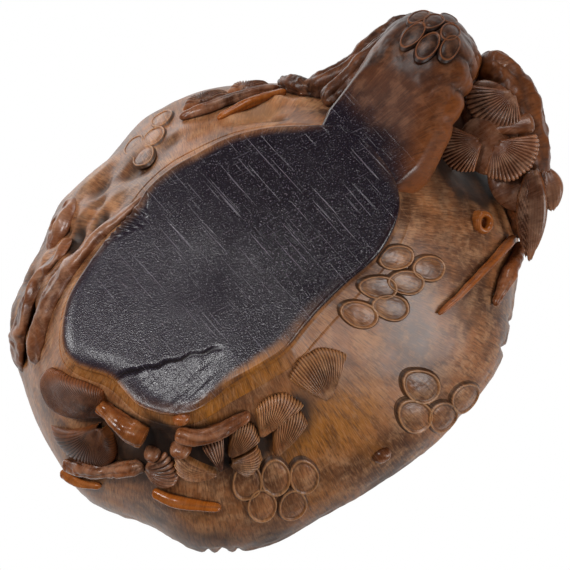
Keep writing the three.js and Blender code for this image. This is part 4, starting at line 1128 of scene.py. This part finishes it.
def scale_skin(place, size, seed):
    """An oval whose outline wanders a little, with the profile of a rim, a groove and a dome."""
    reach, angle = np.linspace(0.02, PROFILE_REACH[-1], 40)[:, None], circle(80)
    wander = 1 + 0.045 * bumps(xyz(np.cos(angle), np.sin(angle)) * 1.2 + seed, 1.0, seed)
    u = SCALE_LENGTH * size * reach * wander * np.cos(angle)
    v = SCALE_WIDTH * size * reach * wander * np.sin(angle)
    lumps = rough_bumps(xyz(u, v, seed * 3.1), 1.8, seed)
    height = np.interp(reach, PROFILE_REACH, PROFILE_HEIGHT)
    out = height * (0.35 + 0.35 * size) + 0.10 * lumps * (reach < 0.7)
    rise = np.clip(np.interp(reach, PROFILE_REACH, PROFILE_RISE) + 0.12 * lumps, 0, 1)
    # Darker in the groove and round the outline: old dirt and painted shade
    gloom = 0.85 * (0.6 * bell(reach, 0.78, 0.06) + bell(reach, 1.02, 0.06))
    return closed_skin(place(u, v, out), rise=rise, glow=0.45 * bell(reach, 0.91, 0.08), gloom=gloom)


SCALE_GROUPS = {  # patch, size, places
    "rim_bark_scales": (wall_patch, 1.1, [
        (62.2, 0.573), (69.4, 0.669), (64.5, 0.821), (57.3, 0.856)]),
    "side_bark_scales": (wall_patch, 1.0, [
        (119.8, 0.461), (112.1, 0.506), (104.7, 0.588), (117.5, 0.615), (110.2, 0.711)]),
    "foot_bark_scales": (wall_patch, 0.88, [
        (31.2, 0.12), (42.2, 0.147), (54.4, 0.165), (46.8, 0.239), (31.7, 0.282), (37.6, 0.225)]),
    "far_bark_scales": (wall_patch, 0.84, [(275, 0.49), (270.5, 0.37), (263.5, 0.45), (263.5, 0.29)]),
    "trunk_bark_scales": (trunk_patch, 0.55, [
        (112, 0.39), (92, 0.375), (72, 0.4), (104, 0.455), (82, 0.445), (122, 0.46), (94, 0.51)]),
}
UPRIGHT = 90
for group, (name, (patch, size, places)) in enumerate(SCALE_GROUPS.items()):
    skins = [scale_skin(patch(at, up, UPRIGHT), size, seed)
             for seed, (at, up) in enumerate(places, start=group * 10)]
    add_piece(name, skins, "trunk_horn" if patch is trunk_patch else "horn")
print("scales:", sum(len(row[2]) for row in SCALE_GROUPS.values()))

# %% [markdown]
# ## Floor, lamps and camera
# The photograph looks at the foot from below, and the floor must not hide it. So the floor is seen
# only by camera rays that meet it from above, and every other ray passes through it. It catches the
# cup's shadow but casts none, so that the lamps below it reach the foot. The world is white where
# the camera sees it, or a reflection that looks past the viewer, and far weaker where it lights the
# horn. The lamps are large and soft, as in a light tent, and are placed in the camera's own axes.

# %% The floor
FLOOR_REACH, FLOOR_LEVEL, WHITE = 1500, -0.2, (1, 1, 1, 1)
mesh = bpy.data.meshes.new("floor")
corners = np.array([(-1, -1, 1), (1, -1, 1), (1, 1, 1), (-1, 1, 1)])
corners = corners * [FLOOR_REACH, FLOOR_REACH, FLOOR_LEVEL] * MM
mesh.from_pydata(corners.tolist(), [], [(0, 1, 2, 3)])
floor = new_object("floor", mesh)
floor.visible_shadow = False
bench = Bench(bpy.data.materials.new("pale_floor"))
seen_from_above = bench.node("ShaderNodeLightPath", {}, {}, "Is Camera Ray") * (
    1 - bench.node("ShaderNodeNewGeometry", {}, {}, "Backfacing"))
matt = bench.node("ShaderNodeBsdfDiffuse", {}, {"Color": (0.9, 0.9, 0.9, 1)}, "BSDF")
pale = bench.node("ShaderNodeEmission", {}, {"Color": WHITE, "Strength": 0.45}, "Emission")
paint = bench.node("ShaderNodeAddShader", {}, [matt, pale], "Shader")
clear = bench.node("ShaderNodeBsdfTransparent", {}, {}, "BSDF")
shown = bench.node("ShaderNodeMixShader", {}, {0: seen_from_above, 1: clear, 2: paint}, "Shader")
bench.node("ShaderNodeOutputMaterial", {}, {"Surface": shown})
mesh.materials.append(bench.owner)
print("floor:", 2 * FLOOR_REACH, "mm wide")

# %% The camera
CAMERA_BACK = np.array([0.0, 0.292372, -0.956305])
CAMERA_RIGHT = np.array([0.848048, 0.506764, 0.154934])
CAMERA_UP = np.array([0.529919, -0.810993, -0.247946])
CAMERA_PLACE = np.array([6.647, 177.052, -541.915])


def turned_to(right, up, back, place):
    """The matrix of a thing with these three axes, at this place in metres."""
    return Matrix([*np.column_stack([right, up, back, place]).tolist(), (0, 0, 0, 1)])


camera = new_object("camera", bpy.data.cameras.new("camera"))
camera.data.lens = 189.47
camera.data.sensor_width = 36.0
camera.data.clip_start = 0.01
camera.matrix_world = turned_to(CAMERA_RIGHT, CAMERA_UP, CAMERA_BACK, CAMERA_PLACE * MM)
bpy.context.scene.camera = camera
print("camera:", round(float(np.linalg.norm(CAMERA_PLACE))), "mm from the cup's foot")

# %% The world
SEEN_WORLD, LIGHT_WORLD, SHINE_WORLD = 1.0, 0.25, 0.05
bpy.context.scene.world = bpy.data.worlds.new("white_room")
room = Bench(bpy.context.scene.world)
direction = room.node("ShaderNodeTexCoord", {}, {}, "Generated")
towards_viewer = room.node("ShaderNodeVectorMath", {"operation": "DOT_PRODUCT"},
                           {0: direction, 1: (0.0, 0.292, -0.956)}, "Value")
backdrop = 1 - towards_viewer.between(-0.95, -0.40)
camera_ray, through_ray, glossy_ray = (
    room.node("ShaderNodeLightPath", {}, {}, f"Is {kind} Ray")
    for kind in ("Camera", "Transmission", "Glossy"))
seen = camera_ray.larger(through_ray).larger(glossy_ray * backdrop)
seen_world, light_world, shine_world = (
    room.node("ShaderNodeBackground", {}, {"Color": WHITE, "Strength": strength}, "Background")
    for strength in (SEEN_WORLD, LIGHT_WORLD, SHINE_WORLD))
lit = room.node("ShaderNodeMixShader", {}, [glossy_ray, light_world, shine_world], "Shader")
whole = room.node("ShaderNodeMixShader", {}, [seen, lit, seen_world], "Shader")
room.node("ShaderNodeOutputWorld", {}, {"Surface": whole})
print("world: seen", SEEN_WORLD, "lights the horn", LIGHT_WORLD)

# %% The lamps
LAMPS = {  # right, up, back, size in metres, power in watts
    "left": (-0.76, 0.22, 0.50, 0.18, 3.5),
    "right": (0.82, -0.36, 0.20, 0.36, 3.9),
    "top": (0.10, 0.80, 0.25, 0.40, 2.4),
    "front": (-0.33, 0.17, 0.80, 0.10, 2.6),
    "behind": (-0.45, 0.46, -0.62, 0.45, 0.9),
}
for name, (right, up, back, size, power) in LAMPS.items():
    spot = right * CAMERA_RIGHT + up * CAMERA_UP + back * CAMERA_BACK
    away = unit(spot)
    across = unit(np.cross([0.0, 0.1, 1.0], away))
    lamp = new_object(name, bpy.data.lights.new(name, "AREA"))
    lamp.data.size, lamp.data.energy = size, power
    lamp.matrix_world = turned_to(across, np.cross(away, across), away, spot)
print("lamps:", ", ".join(LAMPS))

# %% Finish
bpy.context.scene.view_settings.view_transform = "Standard"
print("pieces:", len(pieces), "triangles:", sum(pieces.values()))
